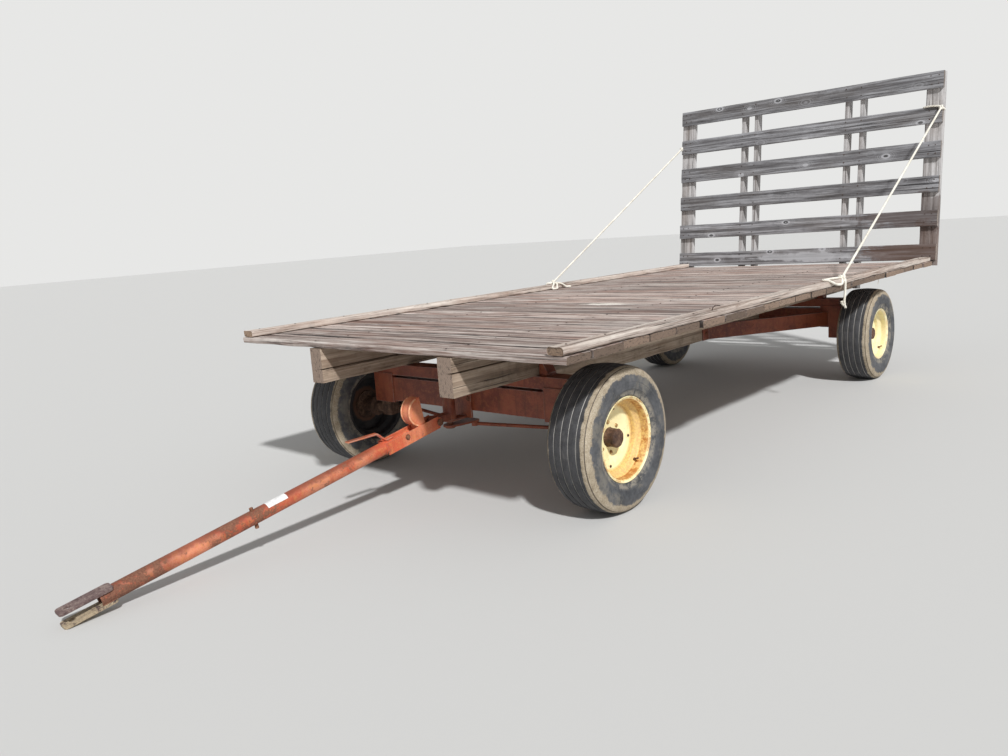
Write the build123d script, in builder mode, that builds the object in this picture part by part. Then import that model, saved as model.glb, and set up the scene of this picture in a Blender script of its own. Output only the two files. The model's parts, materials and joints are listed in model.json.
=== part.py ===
# Hay wagon: a flat wooden bed with a slatted rear rack on a four-wheel steel running gear.
# Millimetres. +Z is up, the tongue points to -Y, and +X is the wagon's left side.
# Everything is laid out from the ground under the middle of the front axle.
# The last lines move the whole wagon so that its origin is the middle of its footprint.
import os
from math import asin, atan, cos, degrees, hypot, radians, sin

from build123d import *

SIDES = (1, -1)
SIDE_NAMES = {1: "left", -1: "right"}

# Wheels
tyre_radius = 367
tyre_width = 254
crown_drop = 9
tread_half = 98
shoulder_round = 18
bulge_high = 318
bulge_low = 262
bulge_flat = 3
rim_half = 101.5
rim_flange = 12.5
rim_wall = 6
front_bead = 200
rear_bead = 190.5
bead_lap = 2
well_half = 52
well_depth = 26
well_slope = 14
disc_wall = 6
disc_dish = 16
disc_knee = 0.8
wheel_track = 1884
wheel_base = 3690

# Hubs and spindles
spindle_radius = 22
spindle_reach = 20
root_lap = 6
collar_radius = 34
hub_radius = 49
hub_back = 125
hub_ring_radius = 62
hub_ring = 20
hub_flange_radius = 88
hub_flange = 12
cap_length = 60
cap_round = 8
turning_gap = 0.08
seat_gap = 0.3
thrust_gap = 0.5

# Axles and bolsters
axle_depth = 110
axle_height = 145
axle_bottom = 430
kingpin_offset = 242
end_margin = 57
end_length = 167
end_drop = 11
cheek = 8
cheek_rise = 12
bolster_gap = 13
bolster_height = 67
bolster_wall = 8
bolster_inset = 12
stake_foot = 58
stake_tip = 16
stake_depth = 70
stake_gap = 2
rear_drop_half = 52

# Steering
kingpin_radius = 17
kingpin_head = 26
knuckle_half = 40
knuckle_bottom = 328
knuckle_round = 14
pivot_ahead = 170
pivot_radius = 16
pivot_collar = 27
arm_offset = (45, 150)
arm_wall = 12
arm_bottom = 358
eye_radius = 20
eye_wall = 22
joint_pin_radius = 9
rod_radius = 10
rod_gap = 1
open_eye_gap = 1
lug_width = 70
lug_wall = 12
lug_low = 388
lug_high = 550
hound_barrel = 70
hound_width = 60
hound_nose = 26
hound_arm_low = 402
hound_arm_high = 438

# Tongue, drawn straight and level with its hinge pin as the zero point. It has been bent sideways in use
hinge_ahead = 285
hinge_height = 412
hinge_pin_radius = 14
hinge_head = 20
hinge_head_wall = 8
tongue_bend = -3.5
ear_radius = 77
ear_width = 66
ear_ahead = 99
ear_rise = 104
ear_flat = 12
ear_foot = 50
side_clearance = 1
tube_radius = 34
tube_wall = 5
tube_start = 190
channel_wall = 6
channel_height = 66
channel_front = 355
channel_end = 26
tongue_length = 1980
clevis_length = 215
clevis_width = 72
clevis_gap = 46
clevis_plate = 12
clevis_seat = 60
hitch_pin_radius = 14
hitch_pin_inset = 42
lever_foot = (295, 335)
lever_bend = (378, 57)
lever_tip = (552, 87)
lever_width = 30
lever_wall = 8
lever_round = 12
stop_bolt_radius = 9
stop_bolt_at = 1118
stop_bolt_above = 14
stop_bolt_below = 22

# Reach and hounds
reach_width = 98
reach_height = 105
reach_bottom = 430
bracket_wall = 8
bracket_length = 300
brace_clamp_front = 2600
brace_clamp_back = 2790
brace_inset = 45
brace_height = 118
brace_flange = 42
brace_wall = 8

# Wooden bed
bed_front = -657
plank_thick = 38
plank_length = 2438
first_plank = 184
plank_width = 232
plank_joint = 5
plank_count = 22
sill_width = 95
sill_height = 193
sill_x = 500
sill_overrun = 116
rail_width = 89
rail_thick = 38
rail_inset = 18

# Rear rack
rack_lean = 6
rack_set_back = 3
slat_count = 6
slat_width = 138
slat_thick = 30
slat_pitch = 288
slat_first = 10
slat_overhang = 21
post_width = 147
post_thick = 38
upright_width = 38
upright_depth = 89
rack_top_reveal = 18

# Rope stays. The left one is tied round the bed's edge outside the rail, the right one over the rail
rope_radius = 6
knot_radius = 17
rope_left_foot_y = 2440
rope_right_foot_y = 2275
rope_right_foot_inset = 30
rope_left_head = 1282
rope_right_head = 1220
rope_head_inset = 8

# Places that follow from the sizes above
axle_top = axle_bottom + axle_height
bolster_bottom = axle_top + bolster_gap
bolster_top = bolster_bottom + bolster_height
sill_top = bolster_top + sill_height
deck_top = sill_top + plank_thick
bed_length = first_plank + (plank_count - 1) * (plank_width + plank_joint)
bed_back = bed_front + bed_length
end_bottom = axle_bottom - end_drop
half_track = wheel_track / 2
kingpin_x = half_track - kingpin_offset
end_half = kingpin_x + end_margin
axle_half = end_half - end_length
bolster_half = end_half - bolster_inset
brace_end_x = kingpin_x - brace_inset
slat_length = plank_length + 2 * slat_overhang
hub_inner_x = half_track - hub_back
spindle_end_x = half_track + spindle_reach
pivot = (0, -pivot_ahead)
rod_z = arm_bottom - rod_gap - eye_wall / 2
rod_pin_low = arm_bottom - rod_gap - eye_wall - rod_gap
rod_pins = [(side * arm_offset[0], pivot[1] + arm_offset[1]) for side in SIDES]
hub_bore_radius = spindle_radius + turning_gap
channel_inner = 2 * (tube_radius + seat_gap)
channel_outer = channel_inner + 2 * channel_wall
tongue_low = clevis_gap / 2 + clevis_plate
tongue_pitch = degrees(
    asin(hinge_height / hypot(tongue_length, tongue_low)) - atan(tongue_low / tongue_length)
)

pieces = []


def keep(builder, label, place=None):
    """Name a finished piece, move it to its parked place and add it to the list."""
    piece = builder.part if place is None else builder.part.moved(place)
    piece.label = label
    pieces.append(piece)


hinged = (
    Location((0, -hinge_ahead, hinge_height))
    * Location((0, 0, 0), (tongue_pitch, 0, 0))
    * Location((0, 0, 0), (0, 0, tongue_bend))
)


def wheel(name, side, axle_y, bead_radius):
    """Tyre, rim and hub, turned about the spindle's line. Profiles run outwards along it."""
    centre = (side * half_track, axle_y, tyre_radius)
    face = Plane(origin=centre, x_dir=(side, 0, 0), z_dir=(0, -side, 0))
    line = Axis(centre, (side, 0, 0))

    lip_radius = bead_radius + rim_flange
    shoulder = tyre_radius - crown_drop
    with BuildPart() as tyre:
        with BuildSketch(face):
            with BuildLine():
                Polyline(
                    (0, bead_radius),
                    (rim_half, bead_radius),
                    (rim_half, lip_radius + bead_lap),
                    (tyre_width / 2 - bulge_flat, bulge_low),
                    (tyre_width / 2, (bulge_low + bulge_high) / 2),
                    (tyre_width / 2 - bulge_flat, bulge_high),
                    (tread_half + shoulder_round, shoulder - shoulder_round),
                    (tread_half, shoulder),
                    (0, tyre_radius),
                    close=True,
                )
            make_face()
            mirror(about=Plane.YZ)
        revolve(axis=line)
    keep(tyre, f"tyre_{name}")

    seat = bead_radius - rim_wall
    well = bead_radius - well_depth
    outer = rim_half + rim_wall
    with BuildPart() as rim:
        with BuildSketch(face):
            with BuildLine():
                Polyline(
                    (0, well),
                    (well_half - well_slope, well),
                    (well_half, bead_radius),
                    (rim_half, bead_radius),
                    (rim_half, lip_radius),
                    (outer, lip_radius),
                    (outer, seat),
                    (well_half + 3, seat),
                    (well_half + 3 - well_slope, well - rim_wall),
                    (0, well - rim_wall),
                    close=True,
                )
            make_face()
            mirror(about=Plane.YZ)
            with BuildLine():
                Polyline(
                    (-disc_wall, hub_radius + seat_gap),
                    (-disc_wall, hub_flange_radius + disc_wall),
                    (disc_dish - disc_wall, disc_knee * well),
                    (disc_dish - disc_wall, well - rim_wall / 2),
                    (disc_dish, well - rim_wall / 2),
                    (disc_dish, disc_knee * well - disc_wall / 2),
                    (0, hub_flange_radius + disc_wall / 2),
                    (0, hub_radius + seat_gap),
                    close=True,
                )
            make_face()
        revolve(axis=line)
    keep(rim, f"rim_{name}")

    with BuildPart() as hub:
        with BuildSketch(face):
            with BuildLine():
                Polyline(
                    (-hub_back, hub_bore_radius),
                    (-hub_back, hub_ring_radius),
                    (-hub_back + hub_ring, hub_ring_radius),
                    (-hub_back + hub_ring, hub_radius),
                    (-disc_wall - hub_flange, hub_radius),
                    (-disc_wall - hub_flange, hub_flange_radius),
                    (-disc_wall, hub_flange_radius),
                    (-disc_wall, hub_radius),
                    (cap_length - cap_round, hub_radius),
                    (cap_length, hub_radius - cap_round),
                    (cap_length, 0),
                    (spindle_reach + side_clearance, 0),
                    (spindle_reach + side_clearance, hub_bore_radius),
                    close=True,
                )
            make_face()
        revolve(axis=line)
    keep(hub, f"hub_{name}")


def spindle(side, axle_y, root_x):
    """Spindle with its collar, at the height of the wheel's middle."""
    start = Plane(origin=(side * root_x, axle_y, tyre_radius), z_dir=(side, 0, 0))
    with BuildPart() as stub:
        with BuildSketch(start):
            Circle(collar_radius)
        extrude(amount=hub_inner_x - root_x - side_clearance)
        with BuildSketch(start):
            Circle(spindle_radius)
        extrude(amount=spindle_end_x - root_x)
    return stub.part


# Front wheels stand on their knuckles and turn with the tongue. Rear wheels stay straight.
for side in SIDES:
    wheel(f"front_{SIDE_NAMES[side]}", side, 0, front_bead)
    wheel(f"rear_{SIDE_NAMES[side]}", side, wheel_base, rear_bead)

    # Knuckle: forged body under the axle's end, kingpin up through it, spindle and arm
    eye = (side * (kingpin_x + arm_offset[0]), arm_offset[1])
    stub_axle = spindle(side, 0, kingpin_x + knuckle_half - root_lap)
    with BuildPart() as knuckle:
        with BuildSketch(Plane.XY.offset(knuckle_bottom)):
            with Locations((side * kingpin_x, 0)):
                RectangleRounded(2 * knuckle_half, 2 * knuckle_half, knuckle_round)
        extrude(amount=end_bottom - thrust_gap - knuckle_bottom)
        add(stub_axle)
        with BuildSketch(Plane.XY.offset(arm_bottom)):
            with Locations((side * kingpin_x, 0)):
                Circle(knuckle_half - arm_wall)
            with Locations(eye):
                Circle(eye_radius)
            make_hull()
        extrude(amount=arm_wall)
        with BuildSketch(Plane.XY.offset(rod_pin_low)):
            with Locations(eye):
                Circle(joint_pin_radius)
        extrude(amount=arm_bottom + arm_wall - rod_pin_low)
        with BuildSketch(Plane.XY.offset(end_bottom - thrust_gap - root_lap)):
            with Locations((side * kingpin_x, 0)):
                Circle(kingpin_radius)
        extrude(amount=bolster_bottom + cheek - end_bottom + thrust_gap + root_lap)
        with BuildSketch(Plane.XY.offset(bolster_bottom + side_clearance)):
            with Locations((side * kingpin_x, 0)):
                Circle(kingpin_head)
        extrude(amount=cheek)
    keep(knuckle, f"knuckle_{SIDE_NAMES[side]}")

    # Tie rod, level and parallel to the line from the tongue's pivot to the kingpin
    pin = (side * arm_offset[0], pivot[1] + arm_offset[1])
    rod_run = (eye[0] - pin[0], eye[1] - pin[1], 0)
    rod_length = hypot(rod_run[0], rod_run[1])
    rod_end = (eye_radius + joint_pin_radius) / 2
    with BuildPart() as tie_rod:
        with BuildSketch(Plane(origin=(*pin, rod_z), z_dir=rod_run).offset(rod_end)):
            Circle(rod_radius)
        extrude(amount=rod_length - 2 * rod_end)
        with BuildSketch(Plane.XY.offset(arm_bottom - rod_gap - eye_wall)):
            with Locations(pin, eye):
                Circle(eye_radius)
        extrude(amount=eye_wall)
        with BuildSketch(Plane.XY.offset(arm_bottom - rod_gap - 2 * eye_wall)):
            with Locations(pin):
                Circle(joint_pin_radius + turning_gap)
            with Locations(eye):
                Circle(joint_pin_radius + open_eye_gap)
        extrude(amount=3 * eye_wall, mode=Mode.SUBTRACT)
    keep(tie_rod, f"tie_rod_{SIDE_NAMES[side]}")

# Steering plate under the axle, from the pivot back to the two rod pins
with BuildPart() as steering_plate:
    with BuildSketch(Plane.XY.offset(arm_bottom)):
        with Locations(pivot):
            Circle(pivot_collar + arm_wall)
        with Locations(rod_pins):
            Circle(eye_radius + eye_wall / 4)
        make_hull()
    extrude(amount=arm_wall)
    with BuildSketch(Plane.XY.offset(rod_pin_low)):
        with Locations(rod_pins):
            Circle(joint_pin_radius)
    extrude(amount=arm_bottom + arm_wall - rod_pin_low)
    with BuildSketch(Plane.XY.offset(arm_bottom)):
        with Locations(pivot):
            Circle(pivot_radius + seat_gap)
    extrude(amount=arm_wall, mode=Mode.SUBTRACT)
keep(steering_plate, "steering_plate")

# Steering hound: a cast barrel that turns on the pivot pin, with an arm that carries the tongue
with BuildPart() as steering_hound:
    barrel_low = lug_low + lug_wall + side_clearance
    with BuildSketch(Plane.XY.offset(barrel_low)):
        with Locations(pivot):
            Circle(hound_barrel / 2)
    extrude(amount=lug_high - side_clearance - barrel_low)
    with BuildSketch(Plane.YZ.offset(-hound_width / 2)):
        with Locations((-hinge_ahead, hinge_height)):
            Circle(hound_nose)
        with Locations((-(hinge_ahead + pivot_ahead) / 2, (hound_arm_low + hound_arm_high) / 2)):
            Rectangle(hinge_ahead - pivot_ahead, hound_arm_high - hound_arm_low)
    extrude(amount=hound_width)
    with BuildSketch(Plane.XY.offset(lug_low)):
        with Locations(pivot):
            Circle(pivot_radius + seat_gap)
    extrude(amount=lug_high, mode=Mode.SUBTRACT)
    with BuildSketch(Plane.YZ.offset(-hound_width)):
        with Locations((-hinge_ahead, hinge_height)):
            Circle(hinge_pin_radius + seat_gap)
    extrude(amount=2 * hound_width, mode=Mode.SUBTRACT)
keep(steering_hound, "steering_hound")

with BuildPart() as pivot_pin:
    with BuildSketch(Plane.XY.offset(arm_bottom - cheek)):
        with Locations(pivot):
            Circle(pivot_collar)
    extrude(amount=cheek)
    with BuildSketch(Plane.XY.offset(arm_bottom - cheek)):
        with Locations(pivot):
            Circle(pivot_radius)
    extrude(amount=lug_high + lug_wall + 2 * cheek - arm_bottom)
    with BuildSketch(Plane.XY.offset(lug_high + lug_wall + side_clearance)):
        with Locations(pivot):
            Circle(pivot_collar)
    extrude(amount=cheek)
keep(pivot_pin, "pivot_pin")

with BuildPart() as hinge_pin:
    half_grip = channel_outer / 2 + hinge_head * sin(radians(abs(tongue_bend))) + seat_gap
    with BuildSketch(Plane.YZ.offset(-half_grip - hinge_head_wall)):
        with Locations((-hinge_ahead, hinge_height)):
            Circle(hinge_pin_radius)
    extrude(amount=2 * (half_grip + hinge_head_wall))
    for side in SIDES:
        with BuildSketch(Plane.YZ.offset(side * half_grip)):
            with Locations((-hinge_ahead, hinge_height)):
                Circle(hinge_head)
        extrude(amount=side * hinge_head_wall)
keep(hinge_pin, "hinge_pin")

# Tongue head: a channel that opens upwards, hinged at its rear end, with a half-round ear in it
with BuildPart() as tongue_head:
    web_bottom = -channel_height / 2
    for side in SIDES:
        with BuildSketch(Plane.YZ.offset(side * channel_inner / 2)):
            with Locations((-channel_front / 2, 0)):
                Rectangle(channel_front, channel_height)
            Circle(channel_end)
        extrude(amount=side * channel_wall)
    with BuildSketch(Plane.XY.offset(web_bottom)):
        with Locations((0, (seat_gap - tube_start) / 2)):
            Rectangle(channel_outer, tube_start - seat_gap)
    extrude(amount=channel_wall)
    with BuildSketch(Plane.YZ.offset(-ear_width / 2)):
        with Locations((-ear_ahead, ear_rise)):
            Circle(ear_radius)
        ear_back = ear_flat - ear_ahead
        with Locations((ear_back + ear_radius, ear_rise)):
            Rectangle(2 * ear_radius, 2 * ear_radius, mode=Mode.SUBTRACT)
        with Locations((ear_back - ear_foot / 2, (ear_rise + web_bottom) / 2)):
            Rectangle(ear_foot, ear_rise - web_bottom)
    extrude(amount=ear_width)
    hinge_line = Plane(
        origin=(0, 0, 0), z_dir=(cos(radians(tongue_bend)), -sin(radians(tongue_bend)), 0)
    )
    with BuildSketch(hinge_line.offset(-channel_outer)):
        Circle(hinge_pin_radius + turning_gap)
    extrude(amount=2 * channel_outer, mode=Mode.SUBTRACT)
keep(tongue_head, "tongue_head", hinged)

# Tongue tube lies between the channel's flanges, and the hitch clevis is let into its end
tube_end = tongue_length - clevis_length + clevis_seat
clevis_levels = (-tongue_low, -tongue_low + clevis_plate + clevis_gap)
with BuildPart() as tongue_tube:
    with BuildSketch(Plane.XZ.offset(tube_start)):
        Circle(tube_radius)
        Circle(tube_radius - tube_wall, mode=Mode.SUBTRACT)
    extrude(amount=tube_end - tube_start)
    for level in clevis_levels:
        with BuildSketch(Plane.XY.offset(level)):
            with Locations((0, clevis_length / 2 - tongue_length)):
                Rectangle(clevis_width, clevis_length)
        extrude(amount=clevis_plate, mode=Mode.SUBTRACT)
    with BuildSketch(Plane.XY.offset(-2 * tongue_low)):
        with Locations((0, -stop_bolt_at)):
            Circle(stop_bolt_radius + seat_gap)
    extrude(amount=4 * tongue_low, mode=Mode.SUBTRACT)
keep(tongue_tube, "tongue_tube", hinged)

with BuildPart() as hitch_clevis:
    plate_middle = (0, clevis_length / 2 - tongue_length)
    for level in clevis_levels:
        with BuildSketch(Plane.XY.offset(level)):
            with Locations(plate_middle):
                RectangleRounded(clevis_width, clevis_length, clevis_width / 4)
        extrude(amount=clevis_plate)
    with BuildSketch(Plane.XY.offset(-2 * tongue_low)):
        with Locations((0, hitch_pin_inset - tongue_length)):
            Circle(hitch_pin_radius)
    extrude(amount=4 * tongue_low, mode=Mode.SUBTRACT)
keep(hitch_clevis, "hitch_clevis", hinged)

# Latch lever: a flat strap that lies on the tube, bends up at the channel's mouth and runs forwards
with BuildPart() as latch_lever:
    with BuildSketch(Plane.YZ.offset(-lever_width / 2)):
        with BuildLine():
            strap_level = tube_radius + lever_wall / 2
            strap = FilletPolyline(
                (-lever_foot[0], strap_level),
                (-lever_foot[1], strap_level),
                (-lever_bend[0], tube_radius + lever_bend[1]),
                (-lever_tip[0], tube_radius + lever_tip[1]),
                radius=lever_round,
            )
            offset(strap, amount=lever_wall / 2, side=Side.BOTH)
        make_face()
    extrude(amount=lever_width)
keep(latch_lever, "latch_lever", hinged)

with BuildPart() as stop_bolt:
    with BuildSketch(Plane.XY.offset(-tube_radius - stop_bolt_below)):
        with Locations((0, -stop_bolt_at)):
            Circle(stop_bolt_radius)
    extrude(amount=2 * tube_radius + stop_bolt_below + stop_bolt_above)
keep(stop_bolt, "stop_bolt", hinged)


def axle(name, y, drop):
    """Axle beam, the two end boxes that carry the wheels, and the bolster with its stakes."""
    with BuildPart() as beam:
        with BuildSketch(Plane.XY.offset(axle_bottom)):
            with Locations((0, y)):
                Rectangle(2 * axle_half, axle_depth)
        extrude(amount=axle_height)
    keep(beam, f"{name}_axle")

    stub_axles = {side: spindle(side, y, kingpin_x + rear_drop_half - root_lap) for side in SIDES}
    with BuildPart() as ends:
        for side in SIDES:
            middle = (side * (axle_half + end_half) / 2, y)
            with BuildSketch(Plane.XY.offset(end_bottom)):
                with Locations(middle):
                    Rectangle(end_half - axle_half, axle_depth)
            extrude(amount=bolster_bottom - end_bottom)
            with BuildSketch(Plane.XY.offset(end_bottom)):
                with Locations(middle):
                    Rectangle(end_half - axle_half, axle_depth + 2 * cheek)
                    Rectangle(end_half - axle_half, axle_depth, mode=Mode.SUBTRACT)
            extrude(amount=bolster_bottom + cheek_rise - end_bottom)
            if drop:
                with BuildSketch(Plane.XY.offset(knuckle_bottom)):
                    with Locations((side * kingpin_x, y)):
                        RectangleRounded(2 * rear_drop_half, axle_depth - 2 * cheek, knuckle_round)
                extrude(amount=end_bottom - knuckle_bottom)
                add(stub_axles[side])
            else:
                with BuildSketch(Plane.XY.offset(end_bottom)):
                    with Locations((side * kingpin_x, y)):
                        Circle(kingpin_radius + turning_gap)
                extrude(amount=bolster_bottom - end_bottom, mode=Mode.SUBTRACT)
    keep(ends, f"{name}_axle_ends")

    with BuildPart() as bolster:
        with BuildSketch(Plane.YZ.offset(-bolster_half)):
            with Locations((y, bolster_bottom + bolster_height / 2)):
                Rectangle(axle_depth, bolster_height)
            with Locations((y, bolster_bottom + bolster_height / 2 - bolster_wall)):
                Rectangle(axle_depth - 2 * bolster_wall, bolster_height, mode=Mode.SUBTRACT)
        extrude(amount=2 * bolster_half)
    keep(bolster, f"{name}_bolster")

    foot = sill_x + sill_width / 2 + stake_gap
    with BuildPart() as stakes:
        with BuildSketch(Plane.XZ.offset(-y - stake_depth / 2)):
            with BuildLine():
                Polyline(
                    (foot, bolster_top),
                    (foot + stake_foot, bolster_top),
                    (foot + stake_foot, bolster_top + stake_tip),
                    (foot + stake_tip, bolster_top + 3 * stake_foot / 2),
                    (foot + stake_tip, sill_top - stake_tip),
                    (foot, sill_top - stake_tip),
                    close=True,
                )
            make_face()
        extrude(amount=stake_depth)
        mirror(about=Plane.YZ)
    keep(stakes, f"{name}_stakes")


axle("front", 0, drop=False)
axle("rear", wheel_base, drop=True)

# Bracket on the front of the axle, with two lugs that hold the tongue's pivot pin
with BuildPart() as pivot_bracket:
    face_y = -axle_depth / 2
    with BuildSketch(Plane.XY.offset(lug_low)):
        with Locations((0, face_y - lug_wall / 2)):
            Rectangle(2 * lug_width, lug_wall)
    extrude(amount=axle_top - lug_low)
    for level in (lug_low, lug_high):
        with BuildSketch(Plane.XY.offset(level)):
            with Locations(pivot):
                Circle(lug_width / 2)
            with Locations((0, (pivot[1] + face_y - lug_wall) / 2)):
                Rectangle(lug_width, face_y - lug_wall - pivot[1])
        extrude(amount=lug_wall)
    with BuildSketch(Plane.XY.offset(lug_low)):
        with Locations(pivot):
            Circle(pivot_radius + turning_gap)
    extrude(amount=lug_high, mode=Mode.SUBTRACT)
keep(pivot_bracket, "pivot_bracket")

# Reach pole from axle to axle, its front bracket and the two braces that clamp it at the rear
reach_half = reach_width / 2
reach_front = axle_depth / 2 + bracket_wall
rear_face = wheel_base - axle_depth / 2
with BuildPart() as reach_pole:
    with BuildSketch(Plane.XY.offset(reach_bottom)):
        with Locations((0, (reach_front + rear_face) / 2)):
            Rectangle(reach_width, rear_face - reach_front)
    extrude(amount=reach_height)
keep(reach_pole, "reach_pole")

with BuildPart() as reach_bracket:
    with BuildSketch(Plane.XY.offset(reach_bottom)):
        with Locations((0, axle_depth / 2 + bracket_wall / 2)):
            Rectangle(reach_width + 6 * bracket_wall, bracket_wall)
        with Locations(
            [(side * (reach_half + bracket_wall / 2), reach_front + bracket_length / 2) for side in SIDES]
        ):
            Rectangle(bracket_wall, bracket_length)
    extrude(amount=reach_height)
keep(reach_bracket, "reach_bracket")

clamp_face = reach_half + bracket_wall
brace_run = (brace_end_x - clamp_face, rear_face - cheek - (brace_clamp_front + brace_clamp_back) / 2)
brace_length = hypot(*brace_run)
with BuildPart() as rear_braces:
    brace_plane = Plane(
        origin=(clamp_face, rear_face - cheek - brace_run[1], reach_bottom),
        x_dir=(-brace_run[1], brace_run[0], 0),
        z_dir=(*brace_run, 0),
    )
    with BuildSketch(brace_plane.offset(-brace_length / 4)):
        with Locations((brace_flange / 2, brace_height / 2)):
            Rectangle(brace_flange, brace_height)
        with Locations((brace_flange / 2 + brace_wall, brace_height / 2)):
            Rectangle(brace_flange, brace_height - 2 * brace_wall, mode=Mode.SUBTRACT)
    extrude(amount=1.5 * brace_length)
    split(bisect_by=Plane.YZ.offset(clamp_face), keep=Keep.TOP)
    split(bisect_by=Plane.XZ.offset(cheek - rear_face), keep=Keep.TOP)
    with BuildSketch(Plane.YZ.offset(reach_half)):
        with Locations(
            ((brace_clamp_front + brace_clamp_back) / 2, reach_bottom + brace_height / 2)
        ):
            Rectangle(brace_clamp_back - brace_clamp_front, brace_height)
    extrude(amount=bracket_wall)
    mirror(about=Plane.YZ)
keep(rear_braces, "rear_braces")

# Wooden bed: two sills, the cross planks and a flat rail along each side
with BuildPart() as sills:
    sill_length = bed_length + sill_overrun
    with BuildSketch(Plane.XY.offset(bolster_top)):
        with Locations([(side * sill_x, bed_front + sill_length / 2) for side in SIDES]):
            Rectangle(sill_width, sill_length)
    extrude(amount=sill_height)
keep(sills, "sills")

with BuildPart() as deck_planks:
    plank_front = bed_front
    with BuildSketch(Plane.XY.offset(sill_top)):
        for number in range(plank_count):
            width = plank_width if number else first_plank
            with Locations((0, plank_front + width / 2)):
                Rectangle(plank_length, width)
            plank_front += width + plank_joint
    extrude(amount=plank_thick)
keep(deck_planks, "deck_planks")

rail_x = plank_length / 2 - rail_inset - rail_width / 2
with BuildPart() as side_rails:
    with BuildSketch(Plane.XY.offset(deck_top)):
        with Locations([(side * rail_x, (bed_front + bed_back) / 2) for side in SIDES]):
            Rectangle(rail_width, bed_length)
    extrude(amount=rail_thick)
keep(side_rails, "side_rails")

# Rear rack, drawn on the leaning plane of the slats' front faces
rack_face = Plane(
    origin=(0, bed_back + rack_set_back, deck_top),
    x_dir=(1, 0, 0),
    z_dir=(0, -cos(radians(rack_lean)), sin(radians(rack_lean))),
)
slat_back = rack_face.offset(-slat_thick)
rack_top = slat_first + (slat_count - 1) * slat_pitch + slat_width
with BuildPart() as rack_slats:
    with BuildSketch(rack_face):
        for number in range(slat_count):
            with Locations((0, slat_first + number * slat_pitch + slat_width / 2)):
                Rectangle(slat_length, slat_width)
    extrude(amount=-slat_thick)
keep(rack_slats, "rack_slats")

with BuildPart() as rack_posts:
    post_low = -plank_thick
    with BuildSketch(slat_back):
        with Locations(
            [
                (side * (slat_length - post_width) / 2, (rack_top + post_low) / 2)
                for side in SIDES
            ]
        ):
            Rectangle(post_width, rack_top - post_low)
    extrude(amount=-post_thick)
keep(rack_posts, "rack_posts")

with BuildPart() as rack_uprights:
    upright_low = -(plank_thick + sill_height) / cos(radians(rack_lean))
    upright_high = rack_top - rack_top_reveal
    clasp = (sill_width + upright_width) / 2
    with BuildSketch(slat_back):
        with Locations(
            [
                (side * sill_x + shift, (upright_high + upright_low) / 2)
                for side in SIDES
                for shift in (-clasp, clasp)
            ]
        ):
            Rectangle(upright_width, upright_high - upright_low)
    extrude(amount=-upright_depth)
keep(rack_uprights, "rack_uprights")

# Rope stays, pulled tight from the rack's outer edges down to knots at the bed's sides
rail_outer = plank_length / 2 - rail_inset
rope_table = {
    1: (rail_outer + rail_inset / 2, rope_left_foot_y, deck_top, rope_left_head),
    -1: (-rail_outer + rope_right_foot_inset, rope_right_foot_y, deck_top + rail_thick, rope_right_head),
}
for side, (foot_x, foot_y, foot_z, head_height) in rope_table.items():
    foot = Vector(foot_x, foot_y, foot_z)
    head = rack_face.from_local_coords(
        Vector(side * (slat_length / 2 - rope_head_inset), head_height, 0)
    )
    run = head - foot
    with BuildPart() as rope:
        with Locations(foot):
            Sphere(knot_radius)
        split(bisect_by=Plane.YZ.offset(rail_outer + seat_gap), keep=Keep.TOP if side > 0 else Keep.BOTTOM)
        with BuildSketch(Plane(origin=foot, z_dir=run)):
            Circle(rope_radius)
        extrude(amount=run.length + 4 * rope_radius)
        split(bisect_by=rack_face, keep=Keep.TOP)
        split(bisect_by=Plane.XY.offset(foot_z), keep=Keep.TOP)
    keep(rope, f"rope_{SIDE_NAMES[side]}")

# Origin: the middle of the wagon's footprint, on the ground
box = Compound(children=[piece.moved(Location()) for piece in pieces]).bounding_box()
centring = Location((-box.center().X, -box.center().Y, -box.min.Z))
os.makedirs("parts", exist_ok=True)
for piece in pieces:
    placed = piece.moved(centring)
    placed.label = piece.label
    export_step(placed, f"parts/{piece.label}.step")
print("origin moved by", centring.position, "lowest point", box.min.Z)
print("tongue pitch", tongue_pitch)
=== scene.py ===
# Looks of the hay wagon: timber, tyres, ropes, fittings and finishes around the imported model.
# Metres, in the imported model's own frame: +Z up, the tongue towards -Y, +X the wagon's left side.
import json
import math
import random

import bmesh
import bpy
from mathutils import Matrix, Vector, noise

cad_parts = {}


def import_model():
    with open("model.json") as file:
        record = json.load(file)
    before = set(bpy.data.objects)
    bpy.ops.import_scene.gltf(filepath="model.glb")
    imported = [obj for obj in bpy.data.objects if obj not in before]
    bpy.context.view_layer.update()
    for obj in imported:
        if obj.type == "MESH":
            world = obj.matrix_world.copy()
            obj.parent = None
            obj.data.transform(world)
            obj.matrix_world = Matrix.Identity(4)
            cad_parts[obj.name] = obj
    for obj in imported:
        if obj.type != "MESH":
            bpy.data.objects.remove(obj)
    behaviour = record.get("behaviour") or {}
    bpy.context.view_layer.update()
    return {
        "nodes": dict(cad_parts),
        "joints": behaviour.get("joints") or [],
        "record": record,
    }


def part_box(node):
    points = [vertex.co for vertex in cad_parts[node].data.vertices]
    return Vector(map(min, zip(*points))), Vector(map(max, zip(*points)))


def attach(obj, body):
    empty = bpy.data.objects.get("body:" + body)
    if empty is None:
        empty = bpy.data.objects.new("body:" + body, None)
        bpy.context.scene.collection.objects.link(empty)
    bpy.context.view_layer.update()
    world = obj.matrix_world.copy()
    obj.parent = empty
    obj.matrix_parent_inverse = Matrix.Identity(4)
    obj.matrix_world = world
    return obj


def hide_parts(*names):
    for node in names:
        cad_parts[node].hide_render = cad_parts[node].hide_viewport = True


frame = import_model()
record = frame["record"]
joints = {joint["name"]: joint for joint in frame["joints"]}
mounts = {mount["name"]: mount for mount in record["mounts"]}
body_of = {node: body for body, nodes in record["behaviour"]["bodies"].items() for node in nodes}
scene = bpy.context.scene
chance = random.Random(4)

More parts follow.
